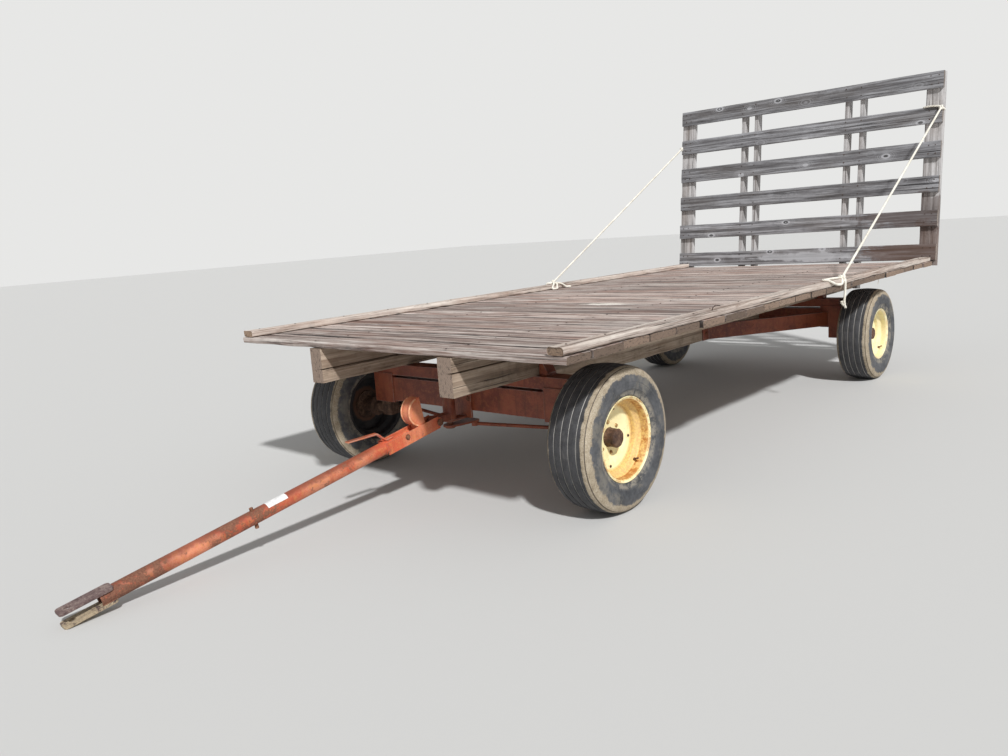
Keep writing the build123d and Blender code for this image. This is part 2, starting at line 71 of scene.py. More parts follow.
X = Vector((1, 0, 0))
Y = Vector((0, 1, 0))
Z = Vector((0, 0, 1))
SIDES = {"left": 1, "right": -1}


# Places read from the frame
def middle(node):
    """The middle of a node's box."""
    low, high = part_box(node)
    return (low + high) / 2


def facing(origin, along_x, along_y):
    """A matrix that takes local places to the wagon's frame."""
    along_z = along_x.cross(along_y)
    turn = Matrix((along_x, along_y, along_z)).transposed().to_4x4()
    return Matrix.Translation(origin) @ turn


axle_y = middle("front_axle").y
rear_axle_y = middle("rear_axle").y
deck_low, deck_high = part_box("deck_planks")
rails_low, rails_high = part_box("side_rails")
sills_low, sills_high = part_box("sills")
rack_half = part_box("rack_slats")[1].x

# The tongue's own frame: the hinge is its zero point, Y runs back along the bent tube and Z up from it
hinge = Vector(joints["tongue_lift"]["pos_m"])
tongue_back = (hinge - Vector(mounts["hitch_pin"]["pos_m"])).normalized()
tongue_up = Vector(mounts["hitch_pin"]["axis"]).normalized()
if tongue_up.z < 0:
    tongue_up = -tongue_up
tongue_frame = facing(hinge, tongue_back.cross(tongue_up), tongue_back)

# The rack's frame: X across, Y up the leaning boards, Z forwards out of the slats' front faces
RACK_LEAN = math.radians(6)
RACK_SET_BACK = 0.003
rack_up = Vector((0, math.sin(RACK_LEAN), math.cos(RACK_LEAN)))
rack_out = X.cross(rack_up)
rack_foot = Vector((0, deck_high.y + RACK_SET_BACK, deck_high.z))


def on_tongue(across, back, up):
    """A place in the tongue's own frame."""
    return tongue_frame @ Vector((across, back, up))


def on_rack(across, up, out=0.0):
    """A place on the rack: across the wagon, up the boards and out of the slats' front faces."""
    return rack_foot + X * across + rack_up * up + rack_out * out


def beside_axle(x, back, z):
    """A place given by its distance behind the front axle."""
    return Vector((x, axle_y + back, z))


# Camera: where it stood beside the wagon, measured from the ground under the front axle
PHOTO_WIDTH = 1008
CAMERA_FROM_AXLE = Vector((3.221, -3.228, 1.403))
CAMERA_YAW = math.radians(42.4226)
CAMERA_PITCH = math.radians(-10.182)
CAMERA_ROLL = math.radians(-4.0736)
FOCAL_PIXELS = 820.93
SENSOR_WIDTH = 36.0
CLIP_END = 200


def make_camera():
    """A camera turned by yaw, pitch and roll, with the photograph's field of view."""
    forward = Vector((
        -math.sin(CAMERA_YAW) * math.cos(CAMERA_PITCH),
        math.cos(CAMERA_YAW) * math.cos(CAMERA_PITCH),
        math.sin(CAMERA_PITCH),
    ))
    level_right = Vector((math.cos(CAMERA_YAW), math.sin(CAMERA_YAW), 0))
    level_up = level_right.cross(forward)
    right = level_right * math.cos(CAMERA_ROLL) + level_up * math.sin(CAMERA_ROLL)
    up = level_up * math.cos(CAMERA_ROLL) - level_right * math.sin(CAMERA_ROLL)
    data = bpy.data.cameras.new("photo_camera")
    data.sensor_width = SENSOR_WIDTH
    data.lens = FOCAL_PIXELS * SENSOR_WIDTH / PHOTO_WIDTH
    data.clip_end = CLIP_END
    camera = bpy.data.objects.new("photo_camera", data)
    place = Vector((0, axle_y, 0)) + CAMERA_FROM_AXLE
    camera.matrix_world = facing(place, right, up)
    scene.collection.objects.link(camera)
    scene.camera = camera


# Shader maths and node trees
class Value:
    """An output in a node tree. Operators on it add Math nodes."""

    def __init__(self, tree, socket):
        self.tree = tree
        self.socket = socket

    def maths(self, operation, other=0.0, swapped=False):
        pair = (other, self) if swapped else (self, other)
        return self.tree.node("ShaderNodeMath", {"operation": operation}, {0: pair[0], 1: pair[1]})

    def __add__(self, other):
        return self.maths("ADD", other)

    def __sub__(self, other):
        return self.maths("SUBTRACT", other)

    def __mul__(self, other):
        return self.maths("MULTIPLY", other)

    def __truediv__(self, other):
        return self.maths("DIVIDE", other)

    def __radd__(self, other):
        return self.maths("ADD", other)

    def __rmul__(self, other):
        return self.maths("MULTIPLY", other)

    def __rsub__(self, other):
        return self.maths("SUBTRACT", other, swapped=True)

    def __abs__(self):
        return self.maths("ABSOLUTE")


class NodeTree:
    """A node tree. Its main method adds a node with its settings and inputs."""

    def __init__(self, tree):
        self.tree = tree

    def node(self, kind, settings=None, inputs=None, output=0):
        made = self.tree.nodes.new(kind)
        for key, value in (settings or {}).items():
            if key == "stops":
                self.set_stops(made.color_ramp, value)
            else:
                setattr(made, key, value)
        for key, value in (inputs or {}).items():
            if isinstance(value, Value):
                self.tree.links.new(value.socket, made.inputs[key])
            else:
                made.inputs[key].default_value = value
        return Value(self, made.outputs[output])

    @staticmethod
    def set_stops(ramp, stops):
        while len(ramp.elements) < len(stops):
            ramp.elements.new(0.5)
        for element, (place, colour) in zip(ramp.elements, stops):
            element.position = place
            element.color = (*colour, 1)

    def vector(self, operation, first, second, output="Vector"):
        """Vector maths, with the output Value where the operation makes a number."""
        return self.node(
            "ShaderNodeVectorMath", {"operation": operation}, {0: first, 1: second}, output=output
        )

    def end(self, kind, value):
        """Adds the tree's output node and links what the tree makes to it."""
        self.tree.links.new(value.socket, self.tree.nodes.new(kind).inputs[0])


def tint(red, green, blue):
    """A screen colour of 0 to 255 a channel, as linear light."""
    shares = (red / 255, green / 255, blue / 255)
    return tuple(s / 12.92 if s <= 0.04045 else ((s + 0.055) / 1.055) ** 2.4 for s in shares)


def tints(*colours):
    return [tint(*colour) for colour in colours]


def scaled(colour, share):
    """A colour made darker, or brighter by a share over 1."""
    return tuple(share * part for part in colour)


class Finish(NodeTree):
    """A material with a principled shader, and the patterns that its colours are mixed from."""

    def __init__(self, name):
        self.material = bpy.data.materials.new(name)
        self.material.use_nodes = True
        super().__init__(self.material.node_tree)
        self.tree.nodes.clear()
        self.place = self.node("ShaderNodeTexCoord", output="Object")

    def attribute(self, name):
        return self.node("ShaderNodeAttribute", {"attribute_name": name}, output="Vector")

    def split(self, vector):
        parts = self.node("ShaderNodeSeparateXYZ", inputs={0: vector}).socket.node
        return [Value(self, parts.outputs[k]) for k in range(3)]

    def stretch(self, vector, scales):
        return self.node("ShaderNodeMapping", inputs={"Vector": vector, "Scale": scales})

    def noise(self, vector, scale, detail=4, roughness=0.55, distortion=0.0):
        """Noise from 0 to 1. A scale of three numbers stretches it along the axes."""
        if isinstance(scale, tuple):
            vector, scale = self.stretch(vector, scale), 1
        inputs = {
            "Vector": vector, "Scale": scale, "Detail": detail, "Roughness": roughness,
            "Distortion": distortion,
        }
        return self.node("ShaderNodeTexNoise", inputs=inputs)

    def cells(self, vector, scales):
        """The distance to the nearest of many scattered points."""
        return self.node("ShaderNodeTexVoronoi", inputs={"Vector": self.stretch(vector, scales), "Scale": 1})

    def step(self, value, low, high):
        """0 below low, 1 above high and a smooth rise between."""
        return self.node(
            "ShaderNodeMapRange",
            {"interpolation_type": "SMOOTHSTEP"},
            {"Value": value, "From Min": low, "From Max": high},
        )

    def fade(self, value, low, high):
        """1 below low, 0 above high and a smooth fall between."""
        return 1 - self.step(value, low, high)

    def ramp(self, value, stops):
        return self.node("ShaderNodeValToRGB", {"stops": stops}, {0: value})

    def mix(self, share, first, second, blend="MIX"):
        def four(colour):
            return colour if isinstance(colour, Value) else (*colour, 1)

        return self.node(
            "ShaderNodeMix",
            {"data_type": "RGBA", "blend_type": blend},
            {0: share, 6: four(first), 7: four(second)},
            output=2,
        )

    def dim(self, colour, value):
        """A colour multiplied by a number that changes over the surface."""
        grey = self.node("ShaderNodeCombineXYZ", inputs={0: value, 1: value, 2: value})
        return self.mix(1, colour, grey, "MULTIPLY")

    def along(self, origin, way):
        """How far a place lies from an origin along a direction."""
        from_origin = self.vector("SUBTRACT", self.place, tuple(origin))
        return self.vector("DOT_PRODUCT", from_origin, tuple(way), output="Value")

    def close(self, colour, roughness, height=None, depth=0.001, strength=1.0):
        """Ends the tree: shader, bump and output."""
        inputs = {"Base Color": colour, "Roughness": roughness}
        if height is not None:
            inputs["Normal"] = self.node(
                "ShaderNodeBump", inputs={"Height": height, "Distance": depth, "Strength": strength}
            )
        self.end("ShaderNodeOutputMaterial", self.node("ShaderNodeBsdfPrincipled", inputs=inputs))
        return self.material


# Meshes: a form gathers points and faces, and the marks that finishes read at each point
class Form:
    def __init__(self, *marks):
        self.points = []
        self.faces = []
        self.changes = []
        self.marks = {mark: [] for mark in marks}

    def point(self, place, **marks):
        self.points.append(tuple(place))
        for mark, value in marks.items():
            self.marks[mark].append(value)
        return len(self.points) - 1

    def face(self, corners, **changed_marks):
        self.faces.append(tuple(corners))
        self.changes.append(changed_marks)

    def band(self, first, second):
        """Faces between two closed rings with as many points."""
        for k in range(len(first)):
            after = (k + 1) % len(first)
            self.face((first[k], first[after], second[after], second[k]))

    def build(self, name, finish, crease=38):
        data = bpy.data.meshes.new(name)
        data.from_pydata(self.points, [], self.faces)
        for mark, values in self.marks.items():
            layer = data.attributes.new(mark, "FLOAT_VECTOR", "CORNER")
            corners = []
            for face, changed in zip(self.faces, self.changes):
                for corner in face:
                    corners.extend(changed.get(mark, values[corner]))
            layer.data.foreach_set("vector", corners)
        return finished(name, data, finish, crease)


def weigh_normals(data):
    """Corner normals that follow the larger faces, so that rounded edges leave flat faces flat."""
    sums = [Vector() for _ in data.vertices]
    for face in data.polygons:
        for corner in face.vertices:
            sums[corner] += face.normal * face.area
    data.normals_split_custom_set_from_vertices([total.normalized() for total in sums])


def finished(name, data, finish, crease, weighted=False):
    """A mesh with its doubles merged, its faces outwards and its corners creased, as a piece."""
    shape = bmesh.new()
    shape.from_mesh(data)
    bmesh.ops.remove_doubles(shape, verts=shape.verts, dist=1e-6)
    bmesh.ops.recalc_face_normals(shape, faces=shape.faces)
    shape.to_mesh(data)
    shape.free()
    data.materials.clear()
    data.materials.append(finish)
    data.shade_smooth()
    data.set_sharp_from_angle(angle=math.radians(crease))
    if weighted:
        weigh_normals(data)
    piece = bpy.data.objects.new(name, data)
    scene.collection.objects.link(piece)
    return piece


def stand_for(piece, *nodes):
    """The piece rides with the nodes that it replaces, which are hidden."""
    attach(piece, body_of[nodes[0]])
    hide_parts(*nodes)


def belong(piece, body, slot):
    """The piece rides on a body, beside that body's nodes."""
    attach(piece, body)


def roughness_at(*place):
    """An uneven value from 0 to 1 at a place."""
    return 0.5 + 0.5 * noise.noise(Vector(place))


# Geometry Nodes for what repeats or follows a path
class Grower(NodeTree):
    """A geometry tree with named inputs for its sizes, its seed and its finish."""

    KINDS = {float: "NodeSocketFloat", int: "NodeSocketInt", str: "NodeSocketMaterial"}

    def __init__(self, name, **inputs):
        group = bpy.data.node_groups.new(name, "GeometryNodeTree")
        for way in ("INPUT", "OUTPUT"):
            group.interface.new_socket("Geometry", in_out=way, socket_type="NodeSocketGeometry")
        for key, value in inputs.items():
            socket = group.interface.new_socket(key, in_out="INPUT", socket_type=self.KINDS[type(value)])
            if not isinstance(value, str):
                socket.default_value = value
        super().__init__(group)
        entry = group.nodes.new("NodeGroupInput")
        self.input = {socket.name: Value(self, socket) for socket in entry.outputs if socket.name}

    def join(self, *parts):
        joined = self.node("GeometryNodeJoinGeometry", inputs={0: parts[0]})
        for part in parts[1:]:
            self.tree.links.new(part.socket, joined.socket.node.inputs[0])
        return joined

    def line(self, step, smooth=False):
        """The guide's runs as curves, with points a step apart."""
        curve = self.node("GeometryNodeMeshToCurve", inputs={0: self.input["Geometry"]})
        if smooth:
            curve = self.node("GeometryNodeCurveSplineType", {"spline_type": "CATMULL_ROM"}, {0: curve})
        return self.node("GeometryNodeResampleCurve", {"mode": "LENGTH"}, {"Curve": curve, "Length": step})

    def circle(self, sides, radius):
        return self.node(
            "GeometryNodeCurvePrimitiveCircle", {"mode": "RADIUS"}, {"Resolution": sides, "Radius": radius}
        )

    def drawn(self, low, high):
        """A random number between two others at each point, by the seed."""
        return self.node(
            "FunctionNodeRandomValue", {"data_type": "FLOAT"}, {2: low, 3: high, "Seed": self.input["Seed"]},
            output=1,
        )

    def close(self, geometry):
        """Ends the tree: real meshes in place of instances, with their finish."""
        whole = self.node("GeometryNodeRealizeInstances", inputs={0: geometry})
        self.end("NodeGroupOutput", self.node(
            "GeometryNodeSetMaterial", inputs={"Geometry": whole, "Material": self.input["Finish"]}
        ))
        return self


class Guide:
    """Points that a grower works on: joined in runs, or each turned to the way that it faces."""

    def __init__(self):
        self.points = []
        self.edges = []
        self.ways = []

    def run(self, points):
        first = len(self.points)
        self.edges += [(first + k, first + k + 1) for k in range(len(points) - 1)]
        self.points += points

    def stud(self, place, way):
        self.points.append(place)
        self.ways.append(way)

    def grow(self, name, grower, **values):
        """The plain piece that a grower makes on the guide, with values for the grower's inputs."""
        data = bpy.data.meshes.new(name + "_guide")
        data.from_pydata([tuple(point) for point in self.points], self.edges, [])
        if self.ways:
            layer = data.attributes.new("facing", "FLOAT_VECTOR", "POINT")
            layer.data.foreach_set("vector", [number for way in self.ways for number in way])
        piece = bpy.data.objects.new(name, data)
        scene.collection.objects.link(piece)
        modifier = piece.modifiers.new("grow", "NODES")
        modifier.node_group = grower.tree
        for socket in grower.tree.interface.items_tree:
            if socket.in_out == "INPUT" and socket.name in values:
                modifier[socket.identifier] = values[socket.name]
        graph = bpy.context.evaluated_depsgraph_get()
        grown = bpy.data.meshes.new_from_object(
            piece.evaluated_get(graph), preserve_all_data_layers=True, depsgraph=graph
        )
        piece.modifiers.clear()
        piece.data = grown
        return piece


WASHER_SIDES = 12
WASHER_SPREAD = 1.25
WASHER_SHARE = 0.16
MOST_SPIN = 6.28


def stud_grower(name, sides, domed):
    """Heads of bolts or nails on points, each on its washer and turned to the point's own facing."""
    g = Grower(name, Radius=0.01, Height=0.008, Seed=3, Finish="")
    radius, height = g.input["Radius"], g.input["Height"]
    head = g.node("GeometryNodeMeshCone", inputs={
        "Vertices": sides, "Radius Bottom": radius, "Radius Top": radius * domed, "Depth": height,
    })
    washer = g.node("GeometryNodeMeshCylinder", inputs={
        "Vertices": WASHER_SIDES, "Radius": radius * WASHER_SPREAD, "Depth": height * WASHER_SHARE,
    })
    way = g.node("GeometryNodeInputNamedAttribute", {"data_type": "FLOAT_VECTOR"}, {"Name": "facing"})
    turned = g.node("FunctionNodeAlignRotationToVector", {"axis": "Z"}, {"Vector": way})
    spin = g.node(
        "FunctionNodeAxisAngleToRotation", inputs={"Axis": (0, 0, 1), "Angle": g.drawn(0.0, MOST_SPIN)}
    )
    rotation = g.node("FunctionNodeRotateRotation", {"rotation_space": "LOCAL"}, {0: turned, 1: spin})
    return g.close(g.node("GeometryNodeInstanceOnPoints", inputs={
        "Points": g.input["Geometry"], "Instance": g.join(head, washer), "Rotation": rotation,
    }))


STRANDS = 3
STRAND_SHARE = 0.52
STRAND_SIDES = 8
STEPS_PER_TWIST = 8


def rope_grower():
    """Strands twisted round a smooth line through the guide's points."""
    g = Grower("twisted_rope", Radius=0.006, Pitch=0.036, Finish="")
    line = g.line(g.input["Pitch"] / STEPS_PER_TWIST, smooth=True)
    normal = g.node("GeometryNodeInputNormal")
    across = g.vector("CROSS_PRODUCT", g.node("GeometryNodeInputTangent"), normal)
    along = g.node("GeometryNodeSplineParameter", output=1)
    strand_radius = g.input["Radius"] * STRAND_SHARE
    ring = g.circle(STRAND_SIDES, strand_radius)
    strands = []
    for strand in range(STRANDS):
        angle = along / g.input["Pitch"] * (2 * math.pi) + strand * 2 * math.pi / STRANDS
        shifts = [
            g.node("ShaderNodeVectorMath", {"operation": "SCALE"}, {0: way, "Scale": reach * strand_radius})
            for way, reach in ((normal, angle.maths("COSINE")), (across, angle.maths("SINE")))
        ]
        shift = g.vector("ADD", *shifts)
        moved = g.node("GeometryNodeSetPosition", inputs={"Geometry": line, "Offset": shift})
        strands.append(g.node("GeometryNodeCurveToMesh", inputs={
            "Curve": moved, "Profile Curve": ring, "Fill Caps": True,
        }))
    return g.close(g.join(*strands))


WIRE_SIDES = 7


def wire_grower():
    """A round wire, straw or bead of weld along the guide, thicker and thinner by its seed."""
    g = Grower("wire", Radius=0.003, Uneven=0.2, Step=0.006, Seed=1, Finish="")
    swell = g.drawn(1 - g.input["Uneven"], 1 + g.input["Uneven"])
    return g.close(g.node("GeometryNodeCurveToMesh", inputs={
        "Curve": g.line(g.input["Step"]), "Profile Curve": g.circle(WIRE_SIDES, g.input["Radius"]),
        "Scale": swell, "Fill Caps": True,
    }))


# Finishes of the timber
def knotty(m, colour, grain, fibre, dark, pale):
    """Knots, each with a bright heart, a dark ring, a bright rim and ripples of grain round it."""
    from_knot = m.cells(grain, (3.1, 5.5, 0.01)) + (fibre - 0.5) * 0.03
    ripple = m.step((from_knot * 120).maths("SINE"), -0.4, 0.8)
    bright = scaled(pale, 1.35)
    colour = m.mix(m.fade(from_knot, 0.2, 0.34) * ripple * 0.4, colour, pale)
    colour = m.mix(m.fade(from_knot, 0.11, 0.16) * 0.65, colour, bright)
    colour = m.mix(m.fade(from_knot, 0.07, 0.09) * 0.9, colour, scaled(dark, 0.6))
    return m.mix(m.fade(from_knot, 0.03, 0.045) * 0.9, colour, bright)


def ringed_ends(m, grain, end_grain, shade):
    """Sawn ends with growth rings and dark checks."""
    wave = m.node(
        "ShaderNodeTexWave", {"wave_type": "RINGS", "rings_direction": "X"},
        {"Vector": grain, "Scale": 46.0, "Distortion": 3.0, "Detail": 3.0, "Detail Scale": 0.3}, output=1,
    )
    ends = m.ramp(wave, [(0.15, scaled(end_grain, 0.62)), (0.75, end_grain)])
    checks = m.step(m.noise(grain, (1, 50, 190), 3, 0.6), 0.56, 0.64)
    return m.mix(checks * 0.7, ends, shade)


def timber_finish(
    name, dark, body, pale, warm, end_grain,
    contrast=1.0, spread=0.34, dirt=0.45, joint_dirt=0.0, knots=False, nails=None, streaks=(),
):
    """Weathered wood: grain, checks, dirt at the joints, worn corners and ringed end grain."""
    m = Finish(name)
    grain = m.attribute("grain")
    tone, wear, end = m.split(m.attribute("board"))
    along, across, from_joint = m.split(m.attribute("spot"))
    fibre = m.noise(grain, (5, 170, 170), 6, 0.7)
    figure = m.noise(grain, (1.1, 34, 34), 5, 0.62, 0.4)
    blotch = m.noise(grain, (1.6, 5, 5), 5, 0.65)
    soil = m.noise(m.place, 9, 6, 0.72)
    crack = m.step(m.noise(grain, (1.7, 110, 110), 3, 0.5), 0.63, 0.68)
    shade = scaled(dark, 0.22)
    shades = ((-0.13, dark), (-0.02, body), (0.11, pale))
    colour = m.ramp(figure * 0.68 + fibre * 0.32, [(0.5 + at / contrast, stop) for at, stop in shades])
    colour = m.mix(m.step(blotch, 0.42, 0.66) * 0.7, colour, m.mix(0.55, colour, warm))
    colour = m.dim(colour, 1.02 - spread / 2 + tone * spread)
    if knots:
        colour = knotty(m, colour, grain, fibre, dark, pale)
    colour = m.mix(crack * 0.85, colour, shade)
    colour = m.mix(m.step(soil, 0.46, 0.76) * dirt, colour, scaled(dark, 0.5))
    colour = m.mix(wear * m.step(fibre, 0.38, 0.6) * 0.45, colour, pale)
    for centre, half, strength, streak_colour in streaks:
        away = m.split(m.vector("SUBTRACT", m.place, centre))
        near = [abs(part) / size for part, size in zip(away, half)]
        reach = near[0] + near[1] + near[2] + (soil - 0.5) * 1.6 + (fibre - 0.5) * 1.2
        colour = m.mix(m.fade(reach, 0.75, 1.05) * strength, colour, streak_colour)
    if joint_dirt:
        joint = m.fade(from_joint + (blotch - 0.5) * 0.012, 0.0035, 0.008)
        packed = 0.4 + m.step(m.noise(grain, (2.2, 3, 3), 3, 0.6), 0.42, 0.56) * 0.6
        colour = m.mix(joint * packed * joint_dirt, colour, shade)
    if nails:
        nail_x, nail_y = (abs(abs(part) - at) for part, at in zip((along, across), nails))
        stain = m.fade(nail_x * 0.35 + nail_y * 1.6 + soil * 0.012, 0.008, 0.024)
        colour = m.mix(stain * 0.65, colour, scaled(dark, 0.4))
    ends = m.dim(ringed_ends(m, grain, end_grain, shade), 1.1 - spread + tone * spread * 1.6)
    colour = m.mix(end, colour, ends)
    height = fibre * 0.5 + figure * 0.35 - crack * 0.9
    return m.close(colour, 0.86, height, 0.0025, 0.95)


# Each timber's dark, body, pale and warm tints, and that of its sawn ends
TIMBER_TINTS = {
    "deck": ((68, 52, 46), (150, 132, 124), (212, 203, 196), (142, 100, 82), (132, 112, 97)),
    "rail": ((112, 96, 86), (178, 163, 154), (214, 204, 194), (168, 136, 116), (158, 134, 114)),
    "sill": ((112, 96, 82), (156, 138, 121), (196, 178, 158), (128, 100, 78), (152, 133, 119)),
    "rack": ((62, 60, 60), (114, 113, 116), (176, 177, 181), (94, 86, 80), (150, 138, 128)),
    "post": ((104, 99, 96), (168, 165, 164), (208, 206, 206), (132, 116, 104), (150, 138, 128)),
}
# White streaks on the deck: place across, distance from the front edge, half length, half width, strength
DECK_STREAKS = (
    (0.13, 1.83, 0.27, 0.058, 1.0), (-0.5, 2.08, 0.13, 0.028, 0.95), (0.28, 2.2, 0.3, 0.012, 0.7),
    (0.83, 1.135, 0.12, 0.010, 0.8), (0.71, 2.08, 0.2, 0.012, 0.6), (0.1, 4.1, 0.4, 0.02, 0.5),
)
WHITE_STREAK_TINT = tint(250, 245, 234)
# Patches of the rack, a pale one low across the middle and dark brown ones low at the near end that are damp
# stain and painted shade together: place across and up, half width, half height, strength, tint
RACK_STAINS_AND_SHADE = (
    (0.15, 0.07, 0.75, 0.05, 0.7, (196, 198, 202)),
    (1.15, 0.08, 0.62, 0.32, 0.72, (94, 68, 54)),
    (1.1, 0.40, 0.62, 0.22, 0.65, (82, 66, 60)),
)
STREAK_DEPTH = 0.2
ANY_DEPTH = 9


def make_timber_finishes():
    streaks = [
        ((x, deck_low.y + back, deck_high.z), (half_long, half_wide, STREAK_DEPTH), strength, WHITE_STREAK_TINT)
        for x, back, half_long, half_wide, strength in DECK_STREAKS
    ]
    stains_and_shade = [
        (tuple(on_rack(across, up)), (half_wide, ANY_DEPTH, half_high), strength, tint(*colour))
        for across, up, half_wide, half_high, strength, colour in RACK_STAINS_AND_SHADE
    ]
    looks = {
        "deck": {
            "contrast": 1.35, "spread": 0.55, "joint_dirt": 0.9, "nails": (NAIL_ALONG, NAIL_ACROSS),
            "streaks": streaks,
        },
        "rail": {"contrast": 1.6, "dirt": 0.35},
        "sill": {"contrast": 0.9, "spread": 0.2, "dirt": 0.6},
        "rack": {"contrast": 0.95, "spread": 0.4, "dirt": 0.3, "knots": True, "streaks": stains_and_shade},
        # The posts take the dark patches: damp stain and painted shade on the near post's lower part.
        "post": {"contrast": 0.95, "spread": 0.3, "streaks": stains_and_shade[1:]},
    }
    return {
        name: timber_finish(f"{name}_timber", *tints(*TIMBER_TINTS[name]), **look)
        for name, look in looks.items()
    }


# Finishes of the painted and rusty iron
# How much rust is added at places along the tongue, ahead of the hinge
ZONE_SPAN = 2.0
TONGUE_RUST = (
    (0.0, 0.0), (0.5, 0.0), (0.62, 0.06), (0.86, 0.05), (1.0, 0.0), (1.1, 0.2), (1.32, 0.16), (1.4, 0.0),
    (1.5, 0.02), (1.58, 0.2), (1.8, 0.24),
)
# How bright the paint is at places along the tongue: a bright head, a duller tube and one fresh red patch
TONGUE_SHADE = (
    (0.0, 1.16), (0.34, 1.16), (0.37, 0.92), (1.0, 0.82), (1.34, 0.70), (1.38, 1.0), (1.47, 1.0),
    (1.53, 0.58),
)
BRIGHTEST = 1.2


def along_tongue(table, most=1.0):
    """Ramp stops for what a table gives at places ahead of the hinge."""
    return [(at / ZONE_SPAN, (number / most,) * 3) for at, number in table]


def gear_finish(name, paint, faded, rust, deep_rust, ochre, on_the_tongue=False):
    """Red paint that has faded, worn off at its edges and rusted through in patches, with a painted
    highlight along its rounded edges.
    """
    m = Finish(name)
    broad = m.noise(m.place, 4.5, 6, 0.66)
    patch = m.noise(m.place, 17, 7, 0.7, 0.3)
    speck = m.noise(m.place, 130, 5, 0.68)
    runs = m.noise(m.place, (26, 26, 4), 5, 0.6)
    mottle = m.noise(m.place, 42, 5, 0.7)
    edge = m.split(m.attribute("edge"))[0]
    colour = m.mix(m.step(broad + (speck - 0.5) * 0.4, 0.38, 0.62), paint, faded)
    colour = m.mix(m.step(mottle, 0.5, 0.62) * 0.6, colour, ochre)
    colour = m.mix(m.step(runs, 0.52, 0.68) * 0.4, colour, scaled(paint, 0.5))
    rusting = patch + edge * 0.16 + (speck - 0.5) * 0.5
    if on_the_tongue:
        ahead = m.along(hinge, -tongue_back)
        rusting = rusting + m.ramp((ahead + (patch - 0.5) * 0.16) / ZONE_SPAN, along_tongue(TONGUE_RUST))
        shade = m.ramp((ahead + (patch - 0.5) * 0.08) / ZONE_SPAN, along_tongue(TONGUE_SHADE, BRIGHTEST))
        colour = m.dim(colour, shade * BRIGHTEST)
        # Ahead of the head, the tube's upper faces are darkened towards a dark maroon.
        normal = m.node("ShaderNodeTexCoord", output="Normal")
        lift = m.vector("DOT_PRODUCT", normal, tuple(tongue_up), output="Value")
        darker_on_top = m.step(lift + (patch - 0.5) * 1.2, 0.3, 0.9) * m.step(ahead, 0.36, 0.5)
        colour = m.mix(darker_on_top * 0.72, colour, scaled(paint, 0.3))
    worn = m.step(rusting, 0.62, 0.69)
    metal = [(0.38, deep_rust), (0.56, rust), (0.68, scaled(rust, 1.35))]
    colour = m.mix(worn * 0.94, colour, m.ramp(speck * 0.6 + patch * 0.4, metal))
    colour = m.mix(m.step(speck, 0.62, 0.7) * 0.6, colour, deep_rust)
    # Painted highlight: the rounded edges are lightened, as if they caught the sun.
    edge_highlight = m.step(edge, 0.4, 0.9) * m.step(patch, 0.4, 0.5)
    colour = m.mix(edge_highlight * 0.4, colour, tuple(0.6 * part + 0.3 for part in faded))
    height = speck * 0.4 - worn * 0.5 + patch * 0.3
    return m.close(colour, 0.55 + worn * 0.33, height, 0.0014, 0.7)


def iron_finish(name, dark, body, light, mud=None, scale=60):
    """Bare pitted iron, with mud caked on what lies low on the tongue."""
    m = Finish(name)
    broad = m.noise(m.place, 12, 5, 0.65)
    pits = m.noise(m.place, scale, 6, 0.7)
    colour = m.ramp(broad * 0.5 + pits * 0.5, [(0.36, dark), (0.5, body), (0.64, light)])
    if mud:
        caked = m.fade(m.along(hinge, tongue_up), -0.02, -0.01)
        caked = caked * m.step(broad + (pits - 0.5) * 0.5, 0.36, 0.46)
        colour = m.mix(caked * 0.85, colour, m.ramp(pits, [(0.38, scaled(mud, 0.6)), (0.6, mud)]))
    return m.close(colour, 0.82, pits + broad, 0.002, 0.8)


def plain_finish(name, dark, light, scale, roughness=0.7):
    m = Finish(name)
    grain = m.noise(m.place, scale, 5, 0.65)
    return m.close(m.ramp(grain, [(0.38, dark), (0.62, light)]), roughness, grain, 0.0005, 0.5)


